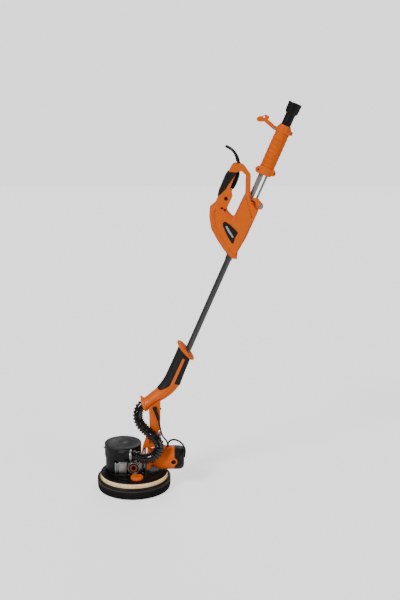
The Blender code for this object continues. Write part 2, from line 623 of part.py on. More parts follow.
def build_motor():
    axis = (0, 0, MOTOR_Z)
    flange = add("motor_flange", rounded_box((0.0465, -0.037, MOTOR_Z - 0.037),
                                             (0.0565, 0.037, MOTOR_Z + 0.037), 0.014), ORANGE)
    cut(flange, rod((0.040, 0, MOTOR_Z), (0.060, 0, MOTOR_Z), 0.0060, segments=14),
        rod((0.0500, 0, MOTOR_Z), (0.060, 0, MOTOR_Z), 0.0110, segments=14))
    wall = 0.0028
    housing = add("motor_housing", turned([
        (0.0300 - wall, 0.0568), (0.0320, 0.0568), (0.0300, 0.0620), (0.0320, 0.0700),
        (0.0385, 0.0850), (MOTOR_R, 0.0930), (MOTOR_R, 0.1390), (MOTOR_R - wall, 0.1390),
        (MOTOR_R - wall, 0.0900), (0.0270, 0.0640)], 28, "X", axis), ORANGE)
    for side in (-1, 1):
        near, far = (BRUSH_X, side * 0.034, MOTOR_Z), (BRUSH_X, side * 0.0470, MOTOR_Z)
        join(housing, rod(near, far, BOSS_R, segments=16))
        cut(housing, rod((BRUSH_X, side * 0.030, MOTOR_Z), (BRUSH_X, side * 0.050, MOTOR_Z),
                         0.0080, segments=12))
        name = "brush_cap_front" if side < 0 else "brush_cap_back"
        add(name, turned([(0, side * 0.0145), (0.0040, side * 0.0145), (0.0040, side * 0.0400),
                          (0.0076, side * 0.0400), (0.0076, side * 0.0465), (0.0045, side * 0.0465),
                          (0, side * 0.0455)], 14, "Y", (BRUSH_X, 0, MOTOR_Z)), BLACK)
    join(housing, rod((0.1158, -0.0125, 0.1432), (0.1158, -0.0125, 0.1500), 0.0056, segments=12))
    cut(housing, rod((0.1158, -0.0125, 0.1460), (0.1158, -0.0125, 0.1560), 0.0032, segments=12))
    end_cap = add("motor_end_cap", turned([
        (0, 0.1540), (0.0048, 0.1540), (0.0048, 0.1450), (0.0110, 0.1450), (0.0110, 0.1570),
        (MOTOR_R - 0.0030, 0.1570), (MOTOR_R - 0.0030, 0.1393), (MOTOR_R, 0.1393),
        (MOTOR_R, 0.1500), (0.0388, 0.1600), (0.0335, 0.1680), (0.0245, 0.1715), (0, 0.1715)],
        28, "X", axis), BLACK)
    for side in (-1, 1):
        cut(end_cap, rod((BRUSH_X, side * 0.0310, MOTOR_Z), (BRUSH_X, side * 0.0500, MOTOR_Z),
                         BOSS_R + 0.0004, segments=16))
    add("field_core", turned([
        (0.0272, 0.0930), (0.0374, 0.0930), (0.0374, 0.1150), (0.0272, 0.1150)], 24, "X", axis),
        COPPER)


def build_bracket():
    gx, gz = GIMBAL.x / MM, GIMBAL.z / MM
    bracket = add("pivot_bracket", prism(BRACKET_OUTLINE, -0.017, 0.017), ORANGE_CAST)
    for low, high in ((gx - 18.3, gx - 13.3), (gx + 13.3, gx + 18.3)):
        cheek = [(low, gz - 27), (high, gz - 27), (high, gz + 8), (high - 1, gz + 12),
                 (low + 1, gz + 12), (low, gz + 8)]
        join(bracket, prism(cheek, -0.0095, 0.0095))
        x0, x1 = (low - 20) * MM, (high + 20) * MM
        cut(bracket, rod((x0, 0, GIMBAL.z), (x1, 0, GIMBAL.z), PIN_R + GAP, segments=14))
    for k in range(3):
        y0 = -0.0122 + 0.0086 * k
        cut(bracket, box((0.046, y0, 0.1530), (0.095, y0 + 0.0064, 0.1590)))
    # room under the leg's cheeks when the head tilts and rolls together
    for side in (-1, 1):
        near, far, wide = side * 0.0073, side * 0.0300, side * 0.0118
        low, high = sorted((near, far))
        cut(bracket, box((0.0400, low, 0.1903), (0.1000, high, 0.2000)))
        low, high = sorted((wide, far))
        cut(bracket, box((0.0400, low, 0.1765), (0.0546, high, 0.1950)))
    return bracket


# ---------------------------------------------------------------- gimbal
def hose_frame(share):
    """Point and direction of the hose at a share of its length."""
    points = smooth_path(HOSE_ROUTE, 0.004)
    i = min(len(points) - 2, max(1, round(share * (len(points) - 1))))
    return points[i], (points[i + 1] - points[i - 1]).normalized()


def build_gimbal():
    g = GIMBAL
    cross = add("gimbal_cross", rounded_box(
        (g.x - 0.0125, -0.0125, g.z - 0.0105), (g.x + 0.0125, 0.0125, g.z + 0.0105), 0.003, "XY",
        2), STEEL, at=g)
    join(cross, rod((g.x - 0.0185, 0, g.z), (g.x + 0.0185, 0, g.z), PIN_R, segments=14))
    cut(cross, rod((g.x, -0.020, g.z), (g.x, 0.020, g.z), PIN_R + GAP, segments=14))
    add("tilt_pin", turned([
        (0, -0.0245), (0.0036, -0.0245), (PIN_R, -0.0235), (PIN_R, 0.0195), (0.0065, 0.0195),
        (0.0065, 0.0225), (0, 0.0225)], 14, "Y", (g.x, 0, g.z)), STEEL, at=g)
    centre, along = hose_frame(0.452)
    side = along.orthogonal().normalized()
    other = along.cross(side)
    rings = []
    for r, h in ((HOSE_R + 0.0018, -0.0035), (HOSE_R + 0.0036, -0.0035), (HOSE_R + 0.0036, 0.0035),
                 (HOSE_R + 0.0018, 0.0035)):
        ring = []
        for k in range(28):
            turn = 2 * math.pi * k / 28
            ring.append(centre + along * h + side * (r * math.cos(turn))
                        + other * (r * math.sin(turn)))
        rings.append(ring)
    clip = add("hose_clip", skin(rings, closed=True), BLACK, at=g)
    inward = Vector((g.x, -0.0260, g.z)) - centre
    inward -= along * inward.dot(along)
    start = centre + inward.normalized() * (HOSE_R + 0.0034)
    join(clip, rod(start, (g.x, -0.0270, g.z), 0.0030, segments=10),
         rod((g.x, -0.0272, g.z), (g.x, -0.0199, g.z), 0.0060, segments=18))
    cut(clip, rod((g.x, -0.0255, g.z), (g.x, -0.0190, g.z), PIN_R + 0.0004, segments=18))


# ---------------------------------------------------------------- goose-neck and leg
def station_ring(station, shrink, half_turns=None, count=24):
    """The ellipse of a goose-neck station, shrunk by millimetres, in the pole frame."""
    (ax, az), (bx, bz), depth = station
    middle = Vector(((ax + bx) / 2, 0, (az + bz) / 2))
    reach = Vector((bx - ax, 0, bz - az)) / 2
    a = reach.length - shrink
    b = depth - shrink
    along = reach.normalized()
    turns = half_turns or [2 * math.pi * k / count for k in range(count)]
    return [(middle + along * (a * math.cos(t)) + Vector((0, b * math.sin(t), 0))) * MM
            for t in turns]


def build_gooseneck():
    stations = [(s, SLEEVE_THICK + 0.3) for s in NECK_SLEEVED] + [(s, 0.0) for s in NECK_BARE]
    wall = SHELL / MM
    steps = 12
    for name, side in (("neck_shell_front", -1), ("neck_shell_back", 1)):
        rings = []
        for station, shrink in stations:
            out = [math.pi * k / steps for k in range(steps + 1)]
            outer = station_ring(station, shrink, [t * side for t in out])
            inner = station_ring(station, shrink + wall, [t * side for t in reversed(out)])
            ring = outer + inner
            rings.append([Vector((p.x, p.y + side * 0.00015, p.z)) for p in ring])
        add(name, skin(rings), ORANGE, pole)
    outer = [station_ring(s, 0.0) for s in NECK_SLEEVED]
    inner = [station_ring(s, SLEEVE_THICK) for s in NECK_SLEEVED]
    add("grip_sleeve", skin([*outer, *reversed(inner)], closed=True), RUBBER, pole)

    tilt = Matrix.Rotation(math.radians(27.5), 4, "Y")
    guard_bm = turned([
        (0, -0.0062), (0.030, -0.0062), (0.0345, -0.0040), (0.0360, 0.0), (0.0345, 0.0040),
        (0.030, 0.0062), (0, 0.0062)], 28)
    guard_bm.transform(Matrix.Translation((-0.0068, 0, -0.0085)) @ tilt
                       @ Matrix.Diagonal((1.17, 1.0, 1.0, 1.0)))
    guard = add("hand_guard", guard_bm, ORANGE, pole)
    lift = Matrix.Translation((0, 0, 0.0055))
    guard.data.transform(lift)
    cut(guard, rod((0, 0, -0.060), (0, 0, 0.060), TUBE_R + GAP, segments=20))

    (ax, az), (bx, bz), _ = NECK_BARE[-1]
    middle = Vector(((ax + bx) / 2, 0, (az + bz) / 2)) * MM
    across = Vector((bx - ax, 0, bz - az)).normalized()
    out = Vector((across.z, 0, -across.x))
    if out.x > 0:
        out = -out
    start = middle + out * GAP
    rings = []
    for r, h in ((0.0184, 0.0), (0.0245, 0.0), (0.0245, 0.0080), (0.0225, 0.0100),
                 (0.0184, 0.0100)):
        ring = []
        for k in range(32):
            turn = 2 * math.pi * k / 32
            ring.append(start + out * h + across * (r * math.cos(turn))
                        + Vector((0, r * math.sin(turn), 0)))
        rings.append(ring)
    collar = add("hose_collar", skin(rings, closed=True), ORANGE, pole)
    top = start - across * 0.0235 + out * 0.0012
    lug = rod(top, top - across * 0.0080 + out * 0.0010, 0.0052, 0.0036, segments=10)
    lug.transform(Matrix.Translation(out * 0.0030))
    join(collar, lug)


def build_leg():
    g = GIMBAL
    leg = add("fork_leg", prism(LEG_OUTLINE, -0.0190, 0.0190), ORANGE_CAST)
    for side in (-1, 1):
        y0, y1 = sorted((side * 0.0133, side * 0.0190))
        cheek = []
        for k in range(13):
            turn = math.pi + math.pi * k / 12
            cheek.append(((g.x + 0.0115 * math.cos(turn)) / MM, (g.z + 0.0115 * math.sin(turn)) / MM))
        cheek += [((g.x + 0.0140) / MM, 213), ((g.x - 0.0140) / MM, 213)]
        join(leg, prism(cheek, y0, y1))
    cut(leg, rod((g.x, -0.025, g.z), (g.x, 0.025, g.z), PIN_R + GAP, segments=14))
    clearance = []
    for station in NECK_BARE:
        ring = station_ring(station, -0.3)
        clearance.append([pole_point(p.x, p.z, p.y) for p in ring])
    first = [p - (clearance[1][i] - p) for i, p in enumerate(clearance[0])]
    cut(leg, skin([first, *clearance]))
    return leg


def build_leads():
    along = (RELIEF_END - RELIEF_TOP).normalized()
    relief = add("lead_strain_relief", rod(RELIEF_TOP, RELIEF_END, 0.0052, 0.0036, 16), RUBBER)
    join(relief, rod(RELIEF_TOP + along * 0.001, RELIEF_TOP - along * 0.005, 0.0062, segments=12))
    tube_curve("motor_lead", smooth_path(LEAD_ROUTE, 0.0090), LEAD_R, RUBBER, resolution=1)
    tube_curve("corrugated_hose", smooth_path(HOSE_ROUTE, 0.0110), HOSE_R, BLACK, resolution=3)


# ---------------------------------------------------------------- main body
def body_pocket(outline, opening, depth, wall):
    """The hollow of a body half: the outline moved in, less an island round the opening."""
    hollow = add("hollow", prism(offset(outline, -wall), -depth, depth), ORANGE, pole)
    if opening:
        cut(hollow, prism(offset(opening, wall), -depth - 0.001, depth + 0.001))
    bm = bmesh.new()
    bm.from_mesh(hollow.data)
    bpy.data.objects.remove(hollow, do_unlink=True)
    return bm


def stepped(outline, side, half, edge):
    """Half of a body with a chamfered outer rim, from the parting plane outwards."""
    rings = []
    for inset, level in ((0.0, 0.00015), (0.0, half - edge), (-0.35 * edge / MM, half - 0.3 * edge),
                         (-edge / MM, half)):
        moved = offset(outline, inset) if inset else outline
        rings.append([(x * MM, side * level, z * MM) for x, z in moved])
    return skin(rings)


def build_body():
    wall = SHELL / MM
    for name, side in (("body_shell_front", -1), ("body_shell_back", 1)):
        shell = add(name, stepped(BODY_OUTLINE, side, HANDLE_HALF, 0.005), ORANGE, pole)
        join(shell, stepped(MAIN_OUTLINE, side, BODY_HALF, 0.005),
             stepped(EAR_OUTLINE, side, EAR_HALF, 0.001))
        cut(shell, prism(OPENING_OUTLINE, -0.040, 0.040))
        cut(shell, body_pocket(BODY_OUTLINE, OPENING_OUTLINE, HANDLE_HALF - SHELL, wall),
            body_pocket(MAIN_OUTLINE, None, BODY_HALF - SHELL, wall + 3.0))
        cut(shell,
            rod((0, 0, 0.330), (0, 0, 0.380), TUBE_R + GAP, segments=20),
            rod((UPPER_X, 0, 0.520), (UPPER_X, 0, 0.600), UPPER_R + 0.0004, segments=18),
            rod((ROD_X, 0, 0.505), (ROD_X, 0, 0.600), ROD_R + 0.0004, segments=12),
            rod((LEVER_AT[0], -0.050, LEVER_AT[1]), (LEVER_AT[0], 0.050, LEVER_AT[1]),
                0.0045 + GAP, segments=14),
            box((-0.0960, -0.0078, 0.5490), (-0.0600, 0.0078, 0.6120)),
            in_pole(relief_bar(0.0063, 0.0063, 0.0100, 0.0320)))
        if side < 0:
            bx, bz = BUTTON_AT
            cut(shell, rod((bx, -0.050, bz), (bx, -0.010, bz), 0.0058, segments=14))
            dx, dz = DIAL_AT
            cut(shell, box((dx - 0.0125, -0.040, dz - 0.0030), (dx + 0.0125, -0.0095, dz + 0.0030)))


def build_controls():
    tx, tz = TRIGGER_AT
    add("trigger", prism(TRIGGER_OUTLINE, -0.0072, 0.0072), BLACK, pole, (tx, 0, tz))
    bx, bz = BUTTON_AT
    add("lock_button", turned([
        (0, -0.0215), (0.0040, -0.0215), (0.0053, -0.0205), (0.0053, -0.0090), (0, -0.0090)], 14,
        "Y", (bx, 0, bz)), BLACK, pole, (bx, -0.015, bz))
    dx, dz = DIAL_AT
    dial = add("speed_dial", turned([
        (0, -0.0022), (0.0100, -0.0022), (0.0110, -0.0014), (0.0110, 0.0014), (0.0100, 0.0022),
        (0, 0.0022)], 20, "Z", (dx, -0.0226, dz)), BLACK, pole, (dx, -0.0226, dz))
    dial.data.name = "speed_dial"
    lx, lz = LEVER_AT
    lever = add("clamp_lever", prism(LEVER_OUTLINE, -0.0200, -0.0087), ORANGE, pole, (lx, 0, lz))
    cut(lever, rod((lx, -0.030, lz), (lx, 0, lz), 0.0045 + GAP, segments=14))
    add("clamp_pin", turned([
        (0, -0.0225), (0.0062, -0.0225), (0.0070, -0.0218), (0.0070, -0.0203), (0.0045, -0.0203),
        (0.0045, 0.0083), (0.0068, 0.0083), (0.0068, 0.0125), (0, 0.0125)], 14, "Y",
        (lx, 0, lz)), STEEL, pole)
    sleeve = add("overmould", prism(OVERMOULD_OUTLINE, -0.0208, 0.0208), RUBBER, pole)
    handle = prism(offset(BODY_OUTLINE, 0.3), -HANDLE_HALF - GAP, HANDLE_HALF + GAP)
    cut(sleeve, handle)


# ---------------------------------------------------------------- tubes and rear grip
def hollow_bar(r_out, r_in, low, high, segments, x=0.0):
    return turned([(r_in, low), (r_out, low), (r_out, high), (r_in, high)], segments, "Z", (x, 0, 0))


def build_tubes():
    add("lower_tube", hollow_bar(TUBE_R, TUBE_R - 0.0015, -0.095, TUBE_TOP, 28), DARK_STEEL, pole)
    at = (UPPER_X, 0, 0.600)
    add("upper_tube", hollow_bar(UPPER_R, UPPER_R - 0.0012, UPPER_FOOT, 0.700, 24, UPPER_X),
        DARK_STEEL, pole, at)
    add("guide_rod", turned([
        (0, 0.4300), (ROD_R, 0.4300), (ROD_R, 0.6900), (0, 0.6900)], 12, "Z", (ROD_X, 0, 0)),
        STEEL, pole, (ROD_X, 0, 0.600))
    collar = add("grip_clamp", prism(COLLAR_OUTLINE, -0.0150, 0.0150), ORANGE, pole)
    join(collar, turned([(0, 0.6330), (0.0215, 0.6330), (GRIP_R + 0.0005, 0.6370),
                         (GRIP_R + 0.0005, 0.6608), (0, 0.6608)], 24, "Z", (GRIP_X, 0, 0)))
    cut(collar, rod((UPPER_X, 0, 0.600), (UPPER_X, 0, 0.680), UPPER_R + GAP, segments=18),
        rod((ROD_X, 0, 0.600), (ROD_X, 0, 0.680), ROD_R + GAP, segments=12))
    for x, z, r in ((-0.0307, 0.6426, 0.0030), (0.0224, 0.6494, 0.0026)):
        cut(collar, rod((x, -0.030, z), (x, 0.030, z), r, segments=10))
    ribs, low, high = 6, 0.6613, 0.7757
    profile = [(0.0192, low)]
    pitch = (high - low) / ribs
    for k in range(ribs):
        z = low + k * pitch
        profile += [(GRIP_R - 0.0010, z), (GRIP_R, z + 0.4 * pitch)]
    profile += [(GRIP_R - 0.0010, high), (0.0192, high)]
    add("rear_grip", turned(profile, 24, "Z", (GRIP_X, 0, 0)), ORANGE, pole)


def build_rear_end():
    top = add("grip_end_collar", turned([
        (0.0162, 0.7760), (GRIP_R, 0.7760), (GRIP_R + 0.0006, 0.7775), (GRIP_R + 0.0006, 0.7920),
        (0.0205, 0.7975), (0.0185, 0.8030), (0.0162, 0.8030)], 28, "Z", (GRIP_X, 0, 0)), ORANGE,
        pole)
    hx, hz = HOOK_AT
    for side in (-1, 1):
        y0, y1 = sorted((side * 0.0058, side * 0.0092))
        ear = [(hx / MM + 9.5, 776.5), (hx / MM + 9.5, 789), (hx / MM - 2, 788), (hx / MM - 5.5, 784),
               (hx / MM - 5.5, 779.5), (hx / MM - 2, 776)]
        join(top, prism(ear, y0, y1))
    join(top, rounded_box((0.0120, -0.0060, 0.7785), (0.0250, 0.0060, 0.7920), 0.003, "XZ", 2))
    cut(top, rod((hx, -0.020, hz), (hx, 0.020, hz), 0.0026, segments=10),
        rod((GRIP_X, 0, 0.7700), (GRIP_X, 0, 0.8100), 0.0162, segments=28))
    hook = add("hook_arm", prism(HOOK_OUTLINE, -0.0053, 0.0053), ORANGE, pole, (hx, 0, hz))
    cut(hook, rod((hx, -0.020, hz), (hx, 0.020, hz), 0.0026, segments=10),
        rod((-0.0790, -0.020, 0.8000), (-0.0790, 0.020, 0.8000), 0.0028, segments=10))
    add("hook_screw", turned([
        (0, -0.0118), (0.0042, -0.0112), (0.0042, -0.0095), (0.0023, -0.0095), (0.0023, 0.0095),
        (0.0040, 0.0095), (0.0040, 0.0118), (0, 0.0118)], 12, "Y", (hx, 0, hz)), STEEL, pole)
    adapter = add("hose_adapter", turned([
        (0.0120, 0.7800), (0.0156, 0.7800), (0.0156, 0.8400), (0.0205, 0.8460), (0.0212, 0.8500),
        (0.0222, 0.8780), (0.0196, 0.8780), (0.0190, 0.8500), (0.0120, 0.8450)], 28, "Z",
        (GRIP_X, 0, 0)), BLACK, pole, (GRIP_X, 0, 0.830))
    for turn in (math.radians(-65), math.radians(115)):
        way = Vector((math.cos(turn), math.sin(turn), 0))
        side = Vector((-way.y, way.x, 0))
        corners = []
        for level in (0.8735, 0.8800):
            ring = []
            for u, v in ((0.015, -0.0045), (0.026, -0.0045), (0.026, 0.0045), (0.015, 0.0045)):
                ring.append(Vector((GRIP_X, 0, level)) + way * u + side * v)
            corners.append(ring)
        cut(adapter, skin(corners))


# ---------------------------------------------------------------- power cord
def cord_route():
    """The free stretch of the power cord, from the strain relief round to the hank, in the world."""
    loop = [
        (0.3403, 0.0000, 1.1276), (0.3365, 0.0006, 1.1372), (0.3300, 0.0030, 1.1458),
        (0.3215, 0.0085, 1.1520), (0.3135, 0.0180, 1.1560), (0.3092, 0.0310, 1.1568),
        (0.3110, 0.0470, 1.1560), (0.3180, 0.0640, 1.1515), (0.3290, 0.0800, 1.1425),
        (0.3400, 0.0930, 1.1290), (0.3490, 0.1000, 1.1120),
    ]
    run = [(-0.0845, 0.620), (-0.0865, 0.590), (-0.0865, 0.560), (-0.0865, 0.530),
           (-0.0865, 0.500), (-0.0865, 0.470), (-0.0865, 0.445), (-0.0865, 0.432)]
    turn = []
    for k in range(7):
        angle = math.pi + math.pi * k / 6
        turn.append((-0.0545 + 0.032 * math.cos(angle), 0.4165 + 0.032 * math.sin(angle)))
    return loop + [tuple(pole_point(x, z, 0.1026)) for x, z in [*run, *turn, (-0.0225, 0.4300)]]


def relief_bar(r0, r1, near, far):
    """A bar or cone on the cord's line where it leaves the handle, from its end back inside."""
    end, after = smooth_path(cord_route(), 0.0150)[:2]
    back = (end - after).normalized()
    return rod(end + back * near, end + back * far, r0, r1, 14)


def build_cord():
    relief = add("cord_strain_relief", relief_bar(0.0046, 0.0060, GAP, 0.0300), RUBBER)
    join(relief, relief_bar(0.0076, 0.0076, 0.0100, 0.0130))
    tube_curve("power_cord", smooth_path(cord_route(), 0.0150), CORD_R, RUBBER, resolution=1)
    z0, z1 = HANK_Z
    y0, y1 = HANK_Y
    r = (y1 - y0) / 2
    outline = []
    for centre, start in ((z1 - r, 0), (z0 + r, 180)):
        for k in range(15):
            turn = math.radians(start + 180 * k / 14)
            outline.append((y0 + r + r * math.cos(turn), centre + r * math.sin(turn)))
    add("cord_hank", prism(outline, HANK_X - HANK_THICK / 2, HANK_X + HANK_THICK / 2, "YZ", 1.0),
        RUBBER, pole)


def build_tie_and_plug():
    low_x, high_x = HANK_X - HANK_THICK / 2 - GAP, HANK_X + HANK_THICK / 2 + GAP
    y0, y1 = HANK_Y[0] - GAP, HANK_Y[1] + GAP
    z0, z1 = 0.470, 0.490
    thick = 0.0016
    tie = add("hank_tie", box((low_x - thick, y0 - thick, z0), (high_x + thick, y1 + thick, z1)),
              WEBBING, pole)
    cut(tie, box((low_x, y0, z0 - 0.01), (high_x, y1, z1 + 0.01)))
    plug = add("plug", turned([
        (0, 0.0), (0.0048, 0.0), (0.0062, -0.0160), (0.0150, -0.0260), (0.0185, -0.0300),
        (0.0185, -0.0420), (0.0170, -0.0450), (0, -0.0450)], 20), RUBBER, pole,
        (0.0, 0.0, 0.0))
    for x in (-0.0095, 0.0095):
        join(plug, rod((x, 0, -0.0440), (x, 0, -0.0630), 0.0024, segments=10))
    plug.location = (0.0060, 0.0530, 0.3868)


build_disc_group()
build_rotor()
build_fan()
build_cover()
build_gear_case()
build_drum()
build_motor()
build_bracket()
build_gimbal()
build_gooseneck()
build_leg()
build_leads()
build_body()
build_controls()
build_tubes()
build_rear_end()
build_cord()
build_tie_and_plug()
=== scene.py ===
"""The looks of the pole drywall sander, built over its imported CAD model, in metres, +Z up."""
import json
import math
import random

import bmesh
import bpy
from mathutils import Matrix, Vector


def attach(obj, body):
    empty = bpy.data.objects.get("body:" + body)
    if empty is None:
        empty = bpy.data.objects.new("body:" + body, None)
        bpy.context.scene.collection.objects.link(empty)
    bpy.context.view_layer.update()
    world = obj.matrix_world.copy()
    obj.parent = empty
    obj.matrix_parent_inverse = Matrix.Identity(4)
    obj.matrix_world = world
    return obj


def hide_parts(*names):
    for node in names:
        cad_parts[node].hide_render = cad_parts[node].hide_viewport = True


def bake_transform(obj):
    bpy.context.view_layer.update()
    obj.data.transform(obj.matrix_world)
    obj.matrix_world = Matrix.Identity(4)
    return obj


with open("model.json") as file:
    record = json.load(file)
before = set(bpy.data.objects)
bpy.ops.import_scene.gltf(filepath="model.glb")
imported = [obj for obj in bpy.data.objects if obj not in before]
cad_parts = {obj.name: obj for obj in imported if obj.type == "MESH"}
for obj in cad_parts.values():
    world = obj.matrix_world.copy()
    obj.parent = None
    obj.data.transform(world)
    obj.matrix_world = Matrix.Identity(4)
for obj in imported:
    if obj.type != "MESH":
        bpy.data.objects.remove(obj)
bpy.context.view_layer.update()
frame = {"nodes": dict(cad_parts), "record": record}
nodes = frame["nodes"]
BODIES = frame["record"]["behaviour"]["bodies"]
BODY_OF = {node: body for body, names in BODIES.items() for node in names}

# The pole leans to the right. What rides it is drawn upright in its own frame, outlines in mm.
LEAN = math.radians(23.2)
POLE_AT = Vector((0.1849, 0.0, 0.4864))
POLE = Matrix.Translation(POLE_AT) @ Matrix.Rotation(LEAN, 4, "Y")
MM = 0.001
UP = Vector((0, 0, 1))
SIDES = ((-1, "front"), (1, "back"))

MOTOR_Z = 0.106                       # height of the motor's axis, which runs along X
MOTOR_R = 0.0405
BRUSH_X, BOSS_R = 0.1362, 0.0126      # the two brush caps' bosses
COVER_R, COVER_TOP = 0.114, 0.0575
SKIRT_R = 0.1246
KNOB_AT = (0.014, -0.074)
FAN_AT = (-0.038, 0.024)              # the fan drum's upright axis
FAN_R = 0.0625
DRUM_FLOOR, DRUM_TOP = 0.1045, 0.1512
SPIGOT = (0, -0.052, 0.133)           # the hose's end on the drum
CASE_CAP_AT = (0.002, 0.0, 0.088)
GIMBAL = Vector((0.073, 0.0, 0.185))
GRIP_X, GRIP_R = -0.0058, 0.0232      # the rear grip, beside the pole's axis
TUBE_X, GUIDE_X = -0.014, 0.0046      # the sliding tube and its guide rod
DIAL_AT = (-0.0825, -0.0226)
CORD_R, LEAD_R, HOSE_R = 0.0039, 0.0028, 0.0165
RIB_PITCH = 0.0092
HOSE_SPLIT = 0.452                    # share of the hose that is above the gimbal
FLOOR_LIFT = 1.12                     # glow that makes the floor match the background


# ---------------------------------------------------------------- camera, light, floor
def new_object(name, data):
    made = bpy.data.objects.new(name, data)
    bpy.context.collection.objects.link(made)
    return made


def build_stage():
    camera = bpy.data.cameras.new("camera")
    camera.lens = 66.0
    camera.sensor_width = 36.0
    camera.clip_end = 50.0
    eye = new_object("camera", camera)
    eye.location = (0.2252, -3.5, 1.55)
    eye.rotation_euler = (math.radians(90 - 14.3), 0.0, 0.0)
    bpy.context.scene.camera = eye

    world = bpy.data.worlds.new("studio")
    world.use_nodes = True
    tree = world.node_tree
    sky = tree.nodes["Background"]
    sky.inputs["Color"].default_value = (1.0, 1.0, 1.0, 1.0)
    rays = tree.nodes.new("ShaderNodeLightPath")
    brightness = tree.nodes.new("ShaderNodeMapRange")
    brightness.inputs["To Min"].default_value = 0.17
    brightness.inputs["To Max"].default_value = 1.7
    tree.links.new(rays.outputs["Is Camera Ray"], brightness.inputs["Value"])
    tree.links.new(brightness.outputs["Result"], sky.inputs["Strength"])
    bpy.context.scene.world = world
    for name, towards, strength, spread in (
            ("key", (-0.8, -1.0, 1.1), 1.75, 16), ("fill", (1.0, -0.9, 0.35), 0.48, 30),
            ("back", (0.3, 1.0, 0.9), 0.8, 30)):
        light = bpy.data.lights.new(name, "SUN")
        light.energy = strength
        light.angle = math.radians(spread)
        lamp = new_object(name, light)
        lamp.location = Vector(towards) * 2.0
        lamp.rotation_euler = Vector(towards).to_track_quat("Z", "Y").to_euler()

    bm = bmesh.new()
    bmesh.ops.create_grid(bm, x_segments=2, y_segments=2, size=6.0)
    mesh = bpy.data.meshes.new("floor")
    bm.to_mesh(mesh)
    bm.free()
    floor = new_object("floor", mesh)
    floor.location = (0.2, 1.0, -0.0003)
    m = Maker("floor_pale")
    seen = m.node("ShaderNodeLightPath").outputs["Is Camera Ray"]
    m.link(m.maths("MULTIPLY", seen, FLOOR_LIFT), m.shader.inputs["Emission Strength"])
    mesh.materials.append(m.finish((0.93, 0.93, 0.93), 0.9, Specular_IOR_Level=0.1,
                                   Emission_Color=(1.0, 1.0, 1.0, 1.0)))


# ---------------------------------------------------------------- materials
class Maker:
    """Nodes of one material, wired in short calls."""

    def __init__(self, name):
        self.made = bpy.data.materials.new(name)
        self.made.use_nodes = True
        self.tree = self.made.node_tree
        self.shader = self.tree.nodes["Principled BSDF"]
        self.coords = self.node("ShaderNodeTexCoord").outputs["Object"]

    def node(self, kind, vector=None, **settings):
        made = self.tree.nodes.new(kind)
        for key, value in settings.items():
            setattr(made, key, value)
        if vector is not None:
            self.link(vector, made.inputs["Vector"])
        return made

    def link(self, source, target):
        self.tree.links.new(source, target)

    def feed(self, socket, given):
        """Set a socket from a colour or a number, or wire it to a node's output."""
        if isinstance(given, tuple):
            socket.default_value = (*given, 1.0)
        elif isinstance(given, (int, float)):
            socket.default_value = given
        elif given is not None:
            self.link(given, socket)

    def scaled(self, factors):
        mapping = self.node("ShaderNodeMapping", self.coords)
        mapping.inputs["Scale"].default_value = factors
        return mapping.outputs["Vector"]

    def along(self, axis):
        return self.node("ShaderNodeSeparateXYZ", self.coords).outputs[axis]

    def noise(self, scale, detail=3.0, rough=0.55, vector=None):
        tex = self.node("ShaderNodeTexNoise", vector or self.coords)
        for key, number in (("Scale", scale), ("Detail", detail), ("Roughness", rough)):
            tex.inputs[key].default_value = number
        return tex.outputs["Fac"]

    def cells(self, scale):
        tex = self.node("ShaderNodeTexVoronoi", self.coords)
        tex.inputs["Scale"].default_value = scale
        return tex.outputs["Distance"]

    def ramp(self, value, low, high, to_low=0.0, to_high=1.0):
        tool = self.node("ShaderNodeMapRange")
        for key, number in (("From Min", low), ("From Max", high), ("To Min", to_low),
                            ("To Max", to_high)):
            tool.inputs[key].default_value = number
        self.link(value, tool.inputs["Value"])
        return tool.outputs["Result"]

    def maths(self, operation, a, b=None):
        tool = self.node("ShaderNodeMath", operation=operation)
        self.feed(tool.inputs[0], a)
        self.feed(tool.inputs[1], b)
        return tool.outputs["Value"]

    def mix(self, share, a, b):
        tool = self.node("ShaderNodeMix", data_type="RGBA")
        self.link(share, tool.inputs["Factor"])
        self.feed(tool.inputs[6], a)
        self.feed(tool.inputs[7], b)
        return tool.outputs[2]

    def bump(self, height, strength, distance=0.0004, below=None):
        tool = self.node("ShaderNodeBump")
        for key, given in (("Strength", strength), ("Distance", distance), ("Height", height),
                           ("Normal", below)):
            self.feed(tool.inputs[key], given)
        return tool.outputs["Normal"]

    def finish(self, colour, rough, normal=None, **fixed):
        for key, given in (("Base Color", colour), ("Roughness", rough), ("Normal", normal)):
            self.feed(self.shader.inputs[key], given)
        for key, value in fixed.items():
            self.shader.inputs[key.replace("_", " ")].default_value = value
        return self.made


def shade(colour, factor):
    return tuple(min(1.0, c * factor) for c in colour)


